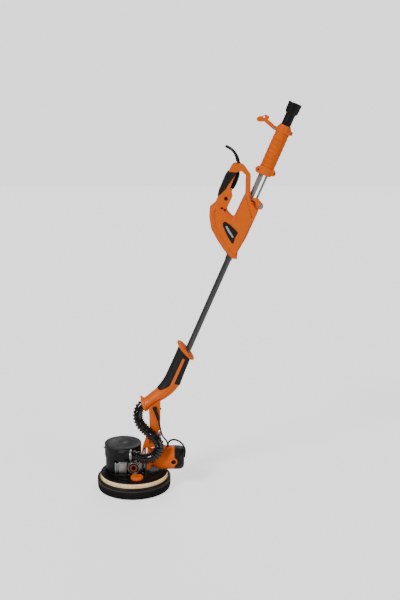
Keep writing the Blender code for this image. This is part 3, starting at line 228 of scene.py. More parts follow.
def stuff(name, colour, rough, vary=0.1, grain=700.0, bump=0.12, spread=0.16, wear=0.0,
          seam=None, coat=0.0, shine=0.5):
    """Moulded plastic or paint: blotches of tone, fine grain, edges rubbed lighter."""
    m = Maker(name)
    broad = m.noise(38.0, 4.0)
    tone = m.mix(m.ramp(broad, 0.3, 0.7), shade(colour, 1.0 - vary), shade(colour, 1.0 + vary))
    if wear:
        edges = m.ramp(m.node("ShaderNodeNewGeometry").outputs["Pointiness"], 0.515, 0.575)
        worn = m.maths("MULTIPLY", edges, m.ramp(m.noise(160.0), 0.35, 0.65, 0.2, 1.0))
        tone = m.mix(m.maths("MULTIPLY", worn, wear), tone,
                     tuple(0.75 * c + 0.12 for c in colour))
    normal = m.bump(m.noise(grain, 2.0), bump, 0.0003)
    if seam is not None:
        away = m.maths("ABSOLUTE", m.maths("SUBTRACT", m.along("Y"), seam))
        groove = m.ramp(away, 0.00025, 0.0006)
        tone = m.mix(groove, shade(colour, 0.35), tone)
        normal = m.bump(groove, 0.8, 0.0006, normal)
    roughness = m.ramp(m.noise(90.0, 5.0), 0.3, 0.7, rough - spread / 2, rough + spread / 2)
    return m.finish(tone, roughness, normal, Metallic=0.0, Coat_Weight=coat,
                    Coat_Roughness=0.15, Specular_IOR_Level=shine)


def cast_metal(name, colour, rough):
    """Blasted aluminium casting with grime in it, and painted shade darkening it towards its foot.
    """
    m = Maker(name)
    broad = m.noise(45.0, 6.0, 0.65)
    tone = m.mix(m.ramp(broad, 0.38, 0.62), shade(colour, 0.55), shade(colour, 1.12))
    stain = m.ramp(m.noise(22.0, 3.0, 0.5), 0.54, 0.66)
    tone = m.mix(m.maths("MULTIPLY", stain, 0.75), tone, (0.2, 0.105, 0.07))
    # painted shade: the casting goes near black low in Z, fading out between 7 and 8.8 cm up
    tone = m.mix(m.ramp(m.along("Z"), 0.07, 0.088), (0.022, 0.02, 0.019), tone)
    fine = m.bump(m.noise(520.0, 3.0), 0.35, 0.0004)
    rolling = m.bump(m.noise(120.0, 4.0), 0.25, 0.0008, fine)
    return m.finish(tone, m.ramp(broad, 0.3, 0.7, rough - 0.1, rough + 0.12), rolling, Metallic=0.6)


def brushed(name, colour, rough, along=(4.0, 4.0, 900.0), metallic=1.0):
    """Turned or drawn metal, with fine lines across the given direction."""
    m = Maker(name)
    lines = m.noise(1.0, 4.0, 0.6, m.scaled(along))
    tone = m.mix(m.ramp(lines, 0.3, 0.7), shade(colour, 0.86), shade(colour, 1.1))
    return m.finish(tone, m.ramp(m.noise(60.0, 4.0), 0.3, 0.7, rough - 0.06, rough + 0.1),
                    m.bump(lines, 0.1, 0.0002), Metallic=metallic)


def rubber(name, colour, rough=0.7, grain=420.0, bump=0.3):
    """Matt rubber with dust settled on it."""
    m = Maker(name)
    dust = m.ramp(m.noise(26.0, 6.0, 0.7), 0.48, 0.75)
    tone = m.mix(m.maths("MULTIPLY", dust, 0.5), colour, shade(colour, 2.1))
    return m.finish(tone, m.ramp(m.noise(70.0, 4.0), 0.3, 0.7, rough - 0.1, rough + 0.1),
                    m.bump(m.noise(grain, 3.0), bump, 0.0003))


def bristles(name):
    """Nylon filaments, stretched upright."""
    m = Maker(name)
    strands = m.noise(1.0, 3.0, 0.7, m.scaled((900.0, 900.0, 18.0)))
    tone = m.mix(m.ramp(strands, 0.35, 0.65), (0.002, 0.002, 0.0022), (0.013, 0.012, 0.012))
    return m.finish(tone, 0.72, m.bump(strands, 0.9, 0.0009), Specular_IOR_Level=0.25)


def diffuser(name):
    """Frosted light band, warm behind each lamp."""
    m = Maker(name)
    tone = m.mix(m.ramp(m.cells(85.0), 0.12, 0.42), (1.0, 0.7, 0.12), (1.0, 0.8, 0.48))
    tone = m.mix(m.ramp(m.noise(60.0, 3.0), 0.5, 0.6), tone, (1.0, 0.6, 0.58))
    return m.finish(tone, 0.3, m.bump(m.noise(500.0, 2.0), 0.08, 0.0002), Coat_Weight=0.3,
                    Emission_Color=(1.0, 0.66, 0.2, 1.0), Emission_Strength=0.45)


def gritty(name):
    """Abrasive grain on paper."""
    m = Maker(name)
    grains = m.cells(1600.0)
    tone = m.mix(m.ramp(grains, 0.1, 0.6), (0.5, 0.37, 0.25), (0.24, 0.16, 0.1))
    return m.finish(tone, 0.92, m.bump(grains, 0.8, 0.0005))


ORANGE_TONE = (1.0, 0.16, 0.001)
ORANGE = stuff("orange_moulded", ORANGE_TONE, 0.4, vary=0.06, grain=900.0, bump=0.07, wear=0.12,
               shine=0.3)
ORANGE_SEAM = stuff("orange_shells", ORANGE_TONE, 0.36, vary=0.05, grain=900.0, bump=0.07,
                    wear=0.1, seam=0.0, shine=0.3)
ORANGE_SOFT = stuff("orange_grip", (0.94, 0.15, 0.001), 0.58, vary=0.08, grain=600.0, bump=0.15,
                    shine=0.2)
ORANGE_CAST = stuff("orange_painted", (0.92, 0.15, 0.002), 0.42, vary=0.09, grain=380.0,
                    bump=0.28, wear=0.25, shine=0.35)
BLACK = stuff("black_moulded", (0.0048, 0.0048, 0.0052), 0.44, vary=0.25, grain=650.0, bump=0.18,
              wear=0.06, shine=0.32)
SATIN = stuff("black_satin", (0.003, 0.003, 0.0033), 0.15, vary=0.2, grain=900.0, bump=0.04)
HOSE_SKIN = stuff("hose_plastic", (0.002, 0.002, 0.0022), 0.13, vary=0.2, grain=900.0, bump=0.03,
                  coat=0.6, shine=0.7, spread=0.06)
LID = stuff("drum_grey", (0.022, 0.022, 0.023), 0.5, vary=0.16, grain=520.0, bump=0.3, wear=0.2)
PALE = stuff("panel_bar", (0.5, 0.49, 0.48), 0.35, vary=0.06)
LABEL = stuff("plain_panel", (0.005, 0.005, 0.006), 0.26, vary=0.1, grain=1200.0, bump=0.03)
RUBBER = rubber("black_rubber", (0.005, 0.005, 0.0055))
GRIPPY = rubber("grip_rubber", (0.0058, 0.0058, 0.0064), 0.7, 260.0, 0.8)
CABLE = rubber("cable_jacket", (0.004, 0.004, 0.0045), 0.45, 900.0, 0.12)
BRISTLE = bristles("skirt_bristle")
SILVER = cast_metal("cast_aluminium", (0.6, 0.59, 0.57), 0.46)
STEEL = brushed("bright_steel", (0.5, 0.5, 0.51), 0.3)
GUNMETAL = brushed("dark_steel", (0.1, 0.1, 0.105), 0.38)
CHROME = brushed("plated_steel", (0.36, 0.36, 0.37), 0.3, (700.0, 700.0, 3.0), 0.55)
TUBE = brushed("dark_tube", (0.115, 0.115, 0.115), 0.26, (700.0, 700.0, 3.0), 0.7)
COPPER = brushed("copper_wire", (0.6, 0.26, 0.12), 0.35, (900.0, 30.0, 30.0))
RUSTY = stuff("red_brown_paint", (0.26, 0.045, 0.015), 0.42, vary=0.3, grain=500.0, bump=0.3)
CREAM = diffuser("light_band")
GRIT = gritty("abrasive_paper")
FOAM = rubber("pad_foam", (0.045, 0.045, 0.05), 0.9, 800.0, 0.8)
WEBBING = rubber("tie_webbing", (0.018, 0.018, 0.02), 0.85, 1500.0, 0.7)


# ---------------------------------------------------------------- shapes
def skin(rings, closed=False):
    """Faces between rings of points; open stacks get end caps."""
    bm = bmesh.new()
    rows = [[bm.verts.new(p) for p in ring] for ring in rings]
    pairs = list(zip(rows, rows[1:]))
    if closed:
        pairs.append((rows[-1], rows[0]))
    for a, b in pairs:
        for i in range(len(a)):
            j = (i + 1) % len(a)
            bm.faces.new((a[i], a[j], b[j], b[i]))
    if not closed:
        bm.faces.new(rows[0])
        bm.faces.new(rows[-1])
    bmesh.ops.recalc_face_normals(bm, faces=bm.faces)
    return bm


def turns(count, first=0.0):
    """The angles of even steps round a circle; first is in steps."""
    return [2 * math.pi * (k + first) / count for k in range(count)]


def spoke(turn):
    return Vector((math.cos(turn), math.sin(turn), 0))


def beside(along):
    """Two directions square to a line and to each other."""
    side = along.orthogonal().normalized()
    return side, along.cross(side)


def circle(centre, side, other, r, count):
    return [centre + side * (r * math.cos(t)) + other * (r * math.sin(t)) for t in turns(count)]


def turned(profile, segments, axis="Z", at=(0.0, 0.0, 0.0)):
    """A profile of (radius, height) turned about an axis: from axis to axis, or a closed loop."""
    solid = profile[0][0] == 0.0
    rings = []
    for r, h in profile:
        r = max(r, 0.00002)
        ring = []
        for turn in turns(segments):
            u, v = r * math.cos(turn), r * math.sin(turn)
            local = {"Z": (u, v, h), "X": (h, u, v), "Y": (u, h, v)}[axis]
            ring.append(Vector(local) + Vector(at))
        rings.append(ring)
    return skin(rings, closed=not solid)


def prism(outline, low, high, plane="XZ", scale=MM):
    """An outline extruded along the third axis from low to high."""
    rings = []
    for level in (low, high):
        flat = [(a * scale, b * scale) for a, b in outline]
        rings.append([(a, level, b) if plane == "XZ" else (a, b, level) for a, b in flat])
    return skin(rings)


def box(low, high):
    outline = [(low[0], low[1]), (high[0], low[1]), (high[0], high[1]), (low[0], high[1])]
    return prism(outline, low[2], high[2], "XY", 1.0)


def rod(start, end, r0, r1=None, segments=32):
    """A round bar or cone between two points."""
    start, end = Vector(start), Vector(end)
    side, other = beside((end - start).normalized())
    return skin([circle(start, side, other, r0, segments),
                 circle(end, side, other, r0 if r1 is None else r1, segments)])


def spline(a, b, c, d, t):
    """The Catmull-Rom curve between b and c."""
    return 0.5 * (2 * b + (c - a) * t + (2 * a - 5 * b + 4 * c - d) * t * t
                  + (3 * b - a - 3 * c + d) * t ** 3)


def length_of(points):
    return sum((q - p).length for p, q in zip(points, points[1:]))


def smooth_path(points, spacing):
    """Points at a steady spacing on the curve through the given ones."""
    knots = [Vector(p) for p in points]
    knots = [knots[0] * 2 - knots[1], *knots, knots[-1] * 2 - knots[-2]]
    fine = []
    for i in range(1, len(knots) - 2):
        fine += [spline(*knots[i - 1:i + 3], k / 12) for k in range(12)]
    fine.append(knots[-2])
    length = length_of(fine)
    count = max(2, round(length / spacing))
    walked, found, target = 0.0, [fine[0]], length / count
    for p, q in zip(fine, fine[1:]):
        step = (q - p).length
        while walked + step >= target - 1e-9 and len(found) < count:
            found.append(p.lerp(q, (target - walked) / step))
            target += length / count
        walked += step
    found.append(fine[-1])
    return found


def sweep(points, radius, segments=24):
    """A tube along points; radius is a function of the distance walked."""
    rings, walked = [], 0.0
    side = (points[1] - points[0]).orthogonal().normalized()
    for i, p in enumerate(points):
        ahead = points[min(i + 1, len(points) - 1)] - points[max(i - 1, 0)]
        along = ahead.normalized()
        side = (side - along * side.dot(along)).normalized()
        if i:
            walked += (p - points[i - 1]).length
        rings.append(circle(p, side, along.cross(side), radius(walked), segments))
    return skin(rings)


def rounded(outline, steps=4):
    """A closed outline smoothed through its points."""
    found = []
    for i in range(len(outline)):
        near = [Vector(outline[(i + k - 1) % len(outline)]) for k in range(4)]
        found += [tuple(spline(*near, k / steps)) for k in range(steps)]
    return found


# ---------------------------------------------------------------- pieces
def place(name, mesh, mat, body, *replaced, sharp=35, slot=None, pole=False):
    """A finished mesh as a piece on a body, standing for CAD nodes."""
    if pole:
        mesh.transform(POLE)
    mesh.materials.clear()
    mesh.materials.append(mat)
    mesh.shade_smooth()
    if sharp:
        mesh.set_sharp_from_angle(angle=math.radians(sharp))
    return ride(new_object(name, mesh), body, replaced)


def ride(made, body, replaced):
    if body:
        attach(made, body)
    if replaced:
        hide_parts(*replaced)
    return made


def mesh_of(*shapes):
    """The bmesh shapes, each closed, laid into one mesh."""
    whole = bmesh.new()
    for bm in shapes:
        part = bpy.data.meshes.new("part")
        bm.to_mesh(part)
        bm.free()
        whole.from_mesh(part)
        bpy.data.meshes.remove(part)
    bmesh.ops.recalc_face_normals(whole, faces=whole.faces)
    mesh = bpy.data.meshes.new("shape")
    whole.to_mesh(mesh)
    whole.free()
    return mesh


def piece(name, shapes, mat, body, *replaced, **kw):
    return place(name, mesh_of(*shapes), mat, body, *replaced, **kw)


def evaluated(mesh, *steps):
    """The mesh after modifiers, each given as (kind, settings)."""
    work = new_object("work", mesh)
    for kind, settings in steps:
        modifier = work.modifiers.new("step", kind)
        for key, value in settings.items():
            setattr(modifier, key, value)
    bpy.context.view_layer.update()
    shaped = bpy.data.meshes.new_from_object(
        work.evaluated_get(bpy.context.evaluated_depsgraph_get()))
    bpy.data.objects.remove(work, do_unlink=True)
    return shaped


def boolean(mesh, operation, tools):
    for tool in tools:
        cutter = new_object("tool", tool if isinstance(tool, bpy.types.Mesh) else mesh_of(tool))
        bpy.context.view_layer.update()
        mesh = evaluated(mesh, ("BOOLEAN", {"operation": operation, "solver": "EXACT",
                                            "object": cutter}))
        bpy.data.objects.remove(cutter, do_unlink=True)
    return mesh


def joined(mesh, *tools):
    return boolean(mesh, "UNION", tools)


def cut(mesh, *tools):
    return boolean(mesh, "DIFFERENCE", tools)


def soften(mesh, voxel=0.001, rounds=3):
    """The mesh with its edges rounded, as a casting or a moulding has them."""
    return evaluated(mesh,
                     ("REMESH", {"mode": "VOXEL", "voxel_size": voxel, "adaptivity": 0.0}),
                     ("SMOOTH", {"factor": 0.5, "iterations": rounds}))


def softened(node, mat, voxel, rounds):
    """A CAD node's own shape with rounded edges, standing for it."""
    mesh = soften(nodes[node].data.copy(), voxel, rounds)
    place(node + "_skin", mesh, mat, BODY_OF[node], node, sharp=0)


def coat(mat, *names):
    """A better material on CAD nodes that stay."""
    for name in names:
        for slot in nodes[name].material_slots:
            slot.material = mat


def screw(at, axis, r=0.0028, depth=0.0012):
    """A socket screw's head, standing depth proud of `at`, with a six-sided socket."""
    at, axis = Vector(at), Vector(axis).normalized()
    side, other = beside(axis)
    rings = []
    for radius, h, sides in ((r, -0.001, 18), (r, depth - 0.0004, 18), (r - 0.0004, depth, 18),
                             (r * 0.55, depth, 6), (r * 0.5, depth - 0.001, 6)):
        ring = []
        for turn in turns(18):
            stretch = 1.0
            if sides == 6:
                stretch = math.cos(math.pi / 6) / math.cos((turn % (math.pi / 3)) - math.pi / 6)
            ring.append(at + axis * h + side * (radius * stretch * math.cos(turn))
                        + other * (radius * stretch * math.sin(turn)))
        rings.append(ring)
    return skin(rings)


# ---------------------------------------------------------------- cords and hose
def cord_route():
    """The free stretch of the power cord, from the strain relief round to the hank."""
    loop = [
        (340.3, 0, 1127.6), (336.5, 0.6, 1137.2), (330, 3, 1145.8), (321.5, 8.5, 1152),
        (313.5, 18, 1156), (309.2, 31, 1156.8), (311, 47, 1156), (318, 64, 1151.5),
        (329, 80, 1142.5), (340, 93, 1129), (349, 100, 1112),
    ]
    beside_pole = [(-84.5, 620)] + [(-86.5, z) for z in (590, 560, 530, 500, 470, 445, 432)]
    for k in range(7):
        angle = math.pi + math.pi * k / 6
        beside_pole.append((-54.5 + 32 * math.cos(angle), 416.5 + 32 * math.sin(angle)))
    beside_pole += [(-22.2, 430), (-20.8, 445), (-18.2, 462), (-16.5, 478)]
    return [Vector([v * MM for v in p]) for p in loop] + [
        POLE @ Vector((x * MM, 0.1026, z * MM)) for x, z in beside_pole]


def hank_turns():
    """The wound stretch: ten turns in two nested layers of five."""
    middle_y, low, high = 0.0705, 0.421, 0.505
    found = []
    lanes = [-0.0162 + 0.0081 * k for k in range(5)]
    order = [(lane, 0.0321) for lane in lanes] + [(lane, 0.0243) for lane in reversed(lanes)]
    for index, (x, r) in enumerate(order):
        after = order[min(index + 1, len(order) - 1)]
        rise = (high - low) / 4
        steps = [(r, low + rise * k) for k in range(4)] if index else [(r, 0.493)]
        for k in range(9):
            angle = math.pi * k / 8
            steps.append((r * math.cos(angle), high + r * math.sin(angle)))
        steps += [(-r, high - rise * k) for k in range(1, 4)]
        for k in range(8):
            angle = math.pi + math.pi * k / 8
            steps.append((r * math.cos(angle), low + r * math.sin(angle)))
        for k, (across, z) in enumerate(steps):
            share = max(0.0, (k + 8 - len(steps)) / 8)
            blend = share * share * (3 - 2 * share)
            lane = x + (after[0] - x) * blend
            reach = 1.0 + (after[1] / r - 1.0) * blend
            if k >= len(steps) - 8:
                z = low + (z - low) * reach
            found.append(POLE @ Vector((lane, middle_y + across * reach, z)))
    return found


def curve_piece(name, points, radius, mat, body, *replaced):
    curve = bpy.data.curves.new(name, "CURVE")
    curve.dimensions = "3D"
    curve.bevel_depth = radius
    curve.bevel_resolution = 3
    curve.use_fill_caps = True
    spline_ = curve.splines.new("POLY")
    spline_.points.add(len(points) - 1)
    for knot, p in zip(spline_.points, points):
        knot.co = (*p, 1.0)
    curve.materials.append(mat)
    return ride(new_object(name, curve), body, replaced)


def build_plug():
    top = Vector((POLE_AT.x + 0.006 * math.cos(LEAN) + 0.3868 * math.sin(LEAN), 0.053,
                  POLE_AT.z + 0.3868 * math.cos(LEAN) - 0.006 * math.sin(LEAN)))
    turn = POLE.to_3x3()
    axis, side = turn @ Vector((0, 0, -1)), turn @ Vector((1, 0, 0))
    rings = [circle(top + axis * d, side, Vector((0, 1, 0)), r, 40) for r, d in (
        (0.0044, 0.0), (0.0052, 0.004), (0.0052, 0.006), (0.0056, 0.0065), (0.0056, 0.0085),
        (0.006, 0.009), (0.0062, 0.015), (0.01, 0.0205), (0.015, 0.025), (0.0178, 0.0288),
        (0.0184, 0.032), (0.0184, 0.0415), (0.0172, 0.0442), (0.015, 0.0449))]
    pins = []
    for x in (-0.0095, 0.0095):
        start = top + side * x + axis * 0.044
        pins.append(rod(start, start + axis * 0.0182, 0.0024, segments=20))
        pins.append(rod(start + axis * 0.018, start + axis * 0.019, 0.0024, 0.0014, 20))
    return [piece("plug_body", [skin(rings)], RUBBER, "pole", "plug"),
            piece("plug_pins", pins, STEEL, "pole")]


def build_tie():
    left, right, front, back, corner = -0.01615, 0.02015, 0.037, 0.104, 0.004
    outline = []
    for x, y, start in ((right, back, 0), (left, back, 90), (left, front, 180),
                        (right, front, 270)):
        for k in range(6):
            out = spoke(math.radians(start + 18 * k))
            outline.append((Vector((x, y, 0)) + out * corner, out))
    rings = [[p - out * inset + UP * z for p, out in outline] for inset, z in (
        (0.0, 0.47), (0.0, 0.49), (0.0014, 0.49), (0.0014, 0.47))]
    return piece("hank_tie_band", [skin(rings, closed=True)], WEBBING, "pole", "hank_tie",
                 pole=True)


def build_cord():
    points = smooth_path([*cord_route(), *hank_turns()], 0.0045)
    cable = curve_piece("power_cord_run", points, CORD_R, CABLE, "pole", "power_cord", "cord_hank")
    ends = [*build_plug(), build_tie()]
    start, after = smooth_path(cord_route(), 0.015)[:2]
    back = (start - after).normalized()
    boot = []
    for k in range(5):
        near, r = 0.0005 + 0.0019 * k, 0.0047 + 0.0002 * k
        boot.append(rod(start + back * near, start + back * (near + 0.0013), r, r + 0.0001))
    boot.append(rod(start + back * 0.0003, start + back * 0.03, 0.0042, 0.0055))
    boot.append(rod(start + back * 0.01, start + back * 0.0125, 0.0074, 0.0076))
    piece("cord_boot", boot, RUBBER, "pole", "cord_strain_relief")


HOSE_ROUTE = [
    (0.04, 0.0, 0.2967), (0.0325, 0.0, 0.2938), (0.0235, -0.003, 0.285),
    (0.0175, -0.008, 0.27), (0.0178, -0.014, 0.25), (0.027, -0.022, 0.231),
    (0.043, -0.031, 0.2165), (0.061, -0.039, 0.203), (0.0775, -0.046, 0.1895),
    (0.087, -0.051, 0.174), (0.0875, -0.055, 0.157), (0.078, -0.057, 0.14),
    (0.062, -0.0575, 0.128), (0.043, -0.0565, 0.124), (0.024, -0.054, 0.1265),
    (0.011, -0.0523, 0.1318), (-0.0005, -0.052, 0.133),
]
LEAD_ROUTE = [
    (0.0869, -0.0256, 0.2462), (0.0905, -0.0268, 0.228), (0.094, -0.0276, 0.21),
    (0.0985, -0.027, 0.195), (0.105, -0.024, 0.184), (0.111, -0.0195, 0.174),
    (0.1145, -0.015, 0.164), (0.1158, -0.0125, 0.1545),
]


def flexible(name, node, mat, points, middle, radius, segments):
    """A run from the pole to the head in two halves, which meet at the gimbal."""
    before = length_of(points[:middle + 1])
    upper = piece(name + "_above", [sweep(points[:middle + 1], radius, segments)], mat, None, node)
    lower = piece(name + "_below", [sweep(points[middle:], lambda w: radius(w + before), segments)],
                  mat, None, node)
    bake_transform(upper)
    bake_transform(lower)


def ribs(walked):
    """The corrugated hose's radius: flat-topped ribs with rounded valleys."""
    wave = math.sin(2 * math.pi * walked / RIB_PITCH)
    return HOSE_R - 0.0003 + 0.002 * max(-1.0, min(0.8, 1.6 * wave))


def build_hose():
    points = smooth_path(HOSE_ROUTE, 0.0005)
    flexible("hose", "corrugated_hose", HOSE_SKIN, points,
             round(HOSE_SPLIT * (len(points) - 1)), ribs, 44)
    path = smooth_path(LEAD_ROUTE, 0.0015)
    flexible("lead", "motor_lead", CABLE, path, len(path) // 2, lambda w: LEAD_R, 20)


# ---------------------------------------------------------------- head
def build_head():
    coat(GRIT, "abrasive_disc")
    coat(FOAM, "foam_pad")
    coat(BLACK, "pad_plate", "spindle_bearing", "impeller")
    coat(STEEL, "spindle", "bevel_wheel", "rotor_shaft")
    coat(COPPER, "rotor_core", "field_core")

    r = COVER_R
    cover = [turned([
        (0.016, 0.0545), (0.1065, 0.0545), (0.1065, 0.0335), (0.1243, 0.0335), (0.1247, 0.0341),
        (0.1248, 0.0372), (0.1243, 0.0392), (0.123, 0.0406), (0.1213, 0.0412), (0.1165, 0.0412),
        (0.115, 0.0405), (0.1148, 0.0345), (0.109, 0.0345), (0.109, 0.0545), (r, 0.0545),
        (r, 0.0549), (r - 0.0006, 0.056), (0.112, 0.0573), (0.111, COVER_TOP),
        (0.088, COVER_TOP), (0.0872, 0.0571), (0.086, 0.0571), (0.0852, COVER_TOP),
        (0.016, COVER_TOP)], 144)]
    for turn in turns(12, 0.5):
        cover.append(screw(spoke(turn) * 0.1 + UP * COVER_TOP, UP, 0.0026, 0.0007))
    piece("cover_plate", cover, BLACK, "head", "head_cover")

    piece("light_ring", [turned([
        (0.1108, 0.0352), (0.1135, 0.0352), (0.114, 0.036), (0.114, 0.0524), (0.1136, 0.0538),
        (0.1128, 0.0541), (0.1108, 0.0541)], 160)], CREAM, "head", "led_diffuser")
    lamps, clips = [], []
    for turn in turns(54, 0.5):
        centre = spoke(turn) * 0.1139 + UP * 0.0472
        lamps.append(rod(centre, centre + spoke(turn) * 0.00035, 0.0017, 0.0012, 12))
    piece("light_ring_lamps", lamps, stuff("lamp_cap", (0.9, 0.55, 0.22), 0.3, vary=0.25), "head",
          slot="led_diffuser")
    for turn in turns(12, 0.3):
        centre = spoke(turn) * 0.1139
        clips.append(rod(centre + UP * 0.0415, centre + UP * 0.0535, 0.0006, 0.0006, 8))
    piece("light_ring_ribs", clips, stuff("band_rib", (0.5, 0.42, 0.33), 0.4), "head",
          slot="led_diffuser")

    rings = []
    count = 900
    rng = random.Random(5)
    jitter = [rng.uniform(-1, 1) for _ in range(count)]
    for inset, z, rough in ((0.0034, 0.0024, 0.0), (0.0028, 0.003, 1.0), (0.0014, 0.009, 1.0),
                            (0.0003, 0.02, 0.8), (0.0003, 0.0331, 0.2), (0.0068, 0.0331, 0.0),
                            (0.008, 0.02, 0.0), (0.0098, 0.0024, 0.0)):
        ring = []
        for k, turn in enumerate(turns(count)):
            tuft = 0.00035 * (1 if k % 2 else -1)
            radius = SKIRT_R - inset + rough * (tuft + 0.00022 * jitter[k])
            ragged = 0.0006 * abs(jitter[k]) if z < 0.004 else 0.0
            ring.append(spoke(turn) * radius + UP * (z + ragged))
        rings.append(ring)
    piece("skirt_bristles", [skin(rings, closed=True)], BRISTLE, "head", "brush_skirt", sharp=0)
    piece("skirt_binding", [turned([
        (0.1237, 0.029), (0.1249, 0.0292), (0.125, 0.0322), (0.1244, 0.033), (0.1237, 0.033)],
        144)], stuff("skirt_band", (0.045, 0.03, 0.024), 0.6, vary=0.3), "head",
        slot="bristle_black")


def build_knob():
    middle = Vector((*KNOB_AT, 0))
    rings = []
    for base, z, flute in ((0.0195, 0.058, 0.0), (0.0206, 0.0586, 0.3), (0.0212, 0.06, 1.0),
                           (0.0213, 0.064, 1.0), (0.0206, 0.0664, 0.7), (0.019, 0.068, 0.3),
                           (0.016, 0.0687, 0.0), (0.008, 0.069, 0.0), (0.0001, 0.069, 0.0)):
        rings.append([middle + UP * z + spoke(turn) * (
            base - flute * 0.002 * max(0.0, math.cos(12 * turn)) ** 2) for turn in turns(96)])
    bars = []
    for turn in turns(3):
        out = spoke(turn + 0.5)
        low = [middle + out * a + UP.cross(out) * b + UP * 0.068 for a, b in (
            (-0.002, -0.0016), (0.0165, -0.0022), (0.0165, 0.0022), (-0.002, 0.0016))]
        bars.append(skin([low, [p + UP * 0.0024 for p in low]]))
    piece("knob_cap", [skin(rings), *bars], ORANGE, "knob", "suction_knob")


def build_drum():
    x, y = FAN_AT
    at = (x, y, 0.0)
    softened("drum_stand", BLACK, 0.0009, 2)
    r = FAN_R
    shell = mesh_of(turned([
        (0.0001, DRUM_FLOOR), (r - 0.0016, DRUM_FLOOR), (r - 0.0004, DRUM_FLOOR + 0.0006),
        (r, DRUM_FLOOR + 0.0018), (r, 0.115), (r - 0.0006, 0.1154), (r - 0.0006, 0.1164),
        (r, 0.1168), (r, DRUM_TOP - 0.0046), (0.0001, DRUM_TOP - 0.0046)], 128, at=at))
    nose = turned([(0.0001, -0.03), (0.0165, -0.03), (0.0165, -0.0112), (0.0172, -0.0108),
                   (0.0172, -0.0098), (0.016, -0.0094), (0.016, -0.0026), (0.0001, -0.0026)],
                  64, "X", SPIGOT)
    scroll = soften(mesh_of(box((-0.05, -0.0685, 0.1165), (-0.0285, -0.018, 0.148))), 0.001, 6)
    chamber = turned([
        (0.0, DRUM_FLOOR - 0.0045), (0.0075, DRUM_FLOOR - 0.0045), (0.0075, DRUM_FLOOR + 0.0028),
        (r - 0.0026, DRUM_FLOOR + 0.0028), (r - 0.0026, DRUM_TOP + 0.009),
        (0.0, DRUM_TOP + 0.009)], 96, at=at)
    place("drum_body", cut(joined(shell, scroll, nose), chamber), BLACK, "head", "fan_drum")
    top = DRUM_TOP
    lid = mesh_of(turned([
        (0.0001, top - 0.0042), (r - 0.0005, top - 0.0042), (r + 0.0002, top - 0.0036),
        (r + 0.0002, top - 0.0024), (r - 0.0006, top - 0.0012), (r - 0.003, top - 0.0002),
        (r - 0.006, top), (0.03, top), (0.029, top - 0.0006), (0.006, top - 0.0006),
        (0.005, top), (0.0001, top)], 128, at=at))
    recess = turned([(0.0001, top - 0.0013), (0.0078, top - 0.0013), (0.009, top + 0.001),
                     (0.0001, top + 0.001)], 40, at=(x + 0.034, y + 0.03, 0.0))
    place("drum_cap", cut(lid, recess), LID, "head", "drum_lid")
    screws = [screw(spoke(turn) * 0.054 + Vector((x, y, top - 0.0003)), UP, 0.0026, 0.0003)
              for turn in turns(5, 0.15)]
    screws.append(rod((x - 0.0655, y - 0.004, 0.133), (x - 0.06, y - 0.004, 0.133), 0.003))
    piece("drum_screws", screws, BLACK, "head", slot="black_plastic")
    _, hose_y, hose_z = SPIGOT
    band = [turned([(0.0178, -0.0106), (0.0192, -0.0106), (0.0196, -0.01), (0.0196, -0.0046),
                    (0.0192, -0.004), (0.0178, -0.004)], 72, "X", SPIGOT),
            rod((-0.0073, hose_y + 0.001, hose_z + 0.02),
                (-0.0073, hose_y - 0.01, hose_z + 0.0195), 0.0023, segments=20)]
    piece("hose_clamp_band", band, STEEL, "head", "hose_band")


def build_case():
    softened("gear_case", SILVER, 0.0009, 3)
    softened("gear_case_cap", BLACK, 0.0007, 2)
    forward = (0, -1, 0)
    bolts = [screw((x, y, 0.064), UP, 0.003, 0.0016)
             for x, y in ((-0.0575, -0.047), (0.032, -0.037), (-0.015, -0.053))]
    for turn in turns(6, 0.25):
        bolts.append(screw((CASE_CAP_AT[0] + 0.0178 * math.cos(turn), -0.0558,
                            CASE_CAP_AT[2] + 0.0178 * math.sin(turn)), forward, 0.0016, 0.0004))
    for x, z in ((-0.0405, 0.105), (-0.0285, 0.105), (-0.0405, 0.081), (-0.0285, 0.081)):
        bolts.append(screw((x, -0.0559, z), forward, 0.002, 0.0007))
    bolts += corner_screws(0.0345, 0.027, -1, 0.003, 0.0022)
    piece("case_bolts", bolts, STEEL, "head", slot="bright_steel")
    ring = turned([(0.0176, -0.0548), (0.0196, -0.0548), (0.0196, -0.056), (0.019, -0.0566),
                   (0.0182, -0.0566), (0.0176, -0.056)], 64, "Y", CASE_CAP_AT)
    piece("case_cap_rim", [ring], STEEL, "head", slot="bright_steel")
    inset = turned([(0.0074, -0.055), (0.0126, -0.055), (0.0126, -0.0563), (0.0118, -0.0567),
                    (0.0082, -0.0567), (0.0074, -0.0563)], 48, "Y", CASE_CAP_AT)
    piece("case_cap_inset", [inset], RUSTY, "head", slot="copper_winding")


def corner_screws(x, spread, facing, r, depth):
    """Four screws round the motor's axis."""
    return [screw((x, sy * spread, MOTOR_Z + sz * spread), (facing, 0, 0), r, depth)
            for sy in (-1, 1) for sz in (-1, 1)]


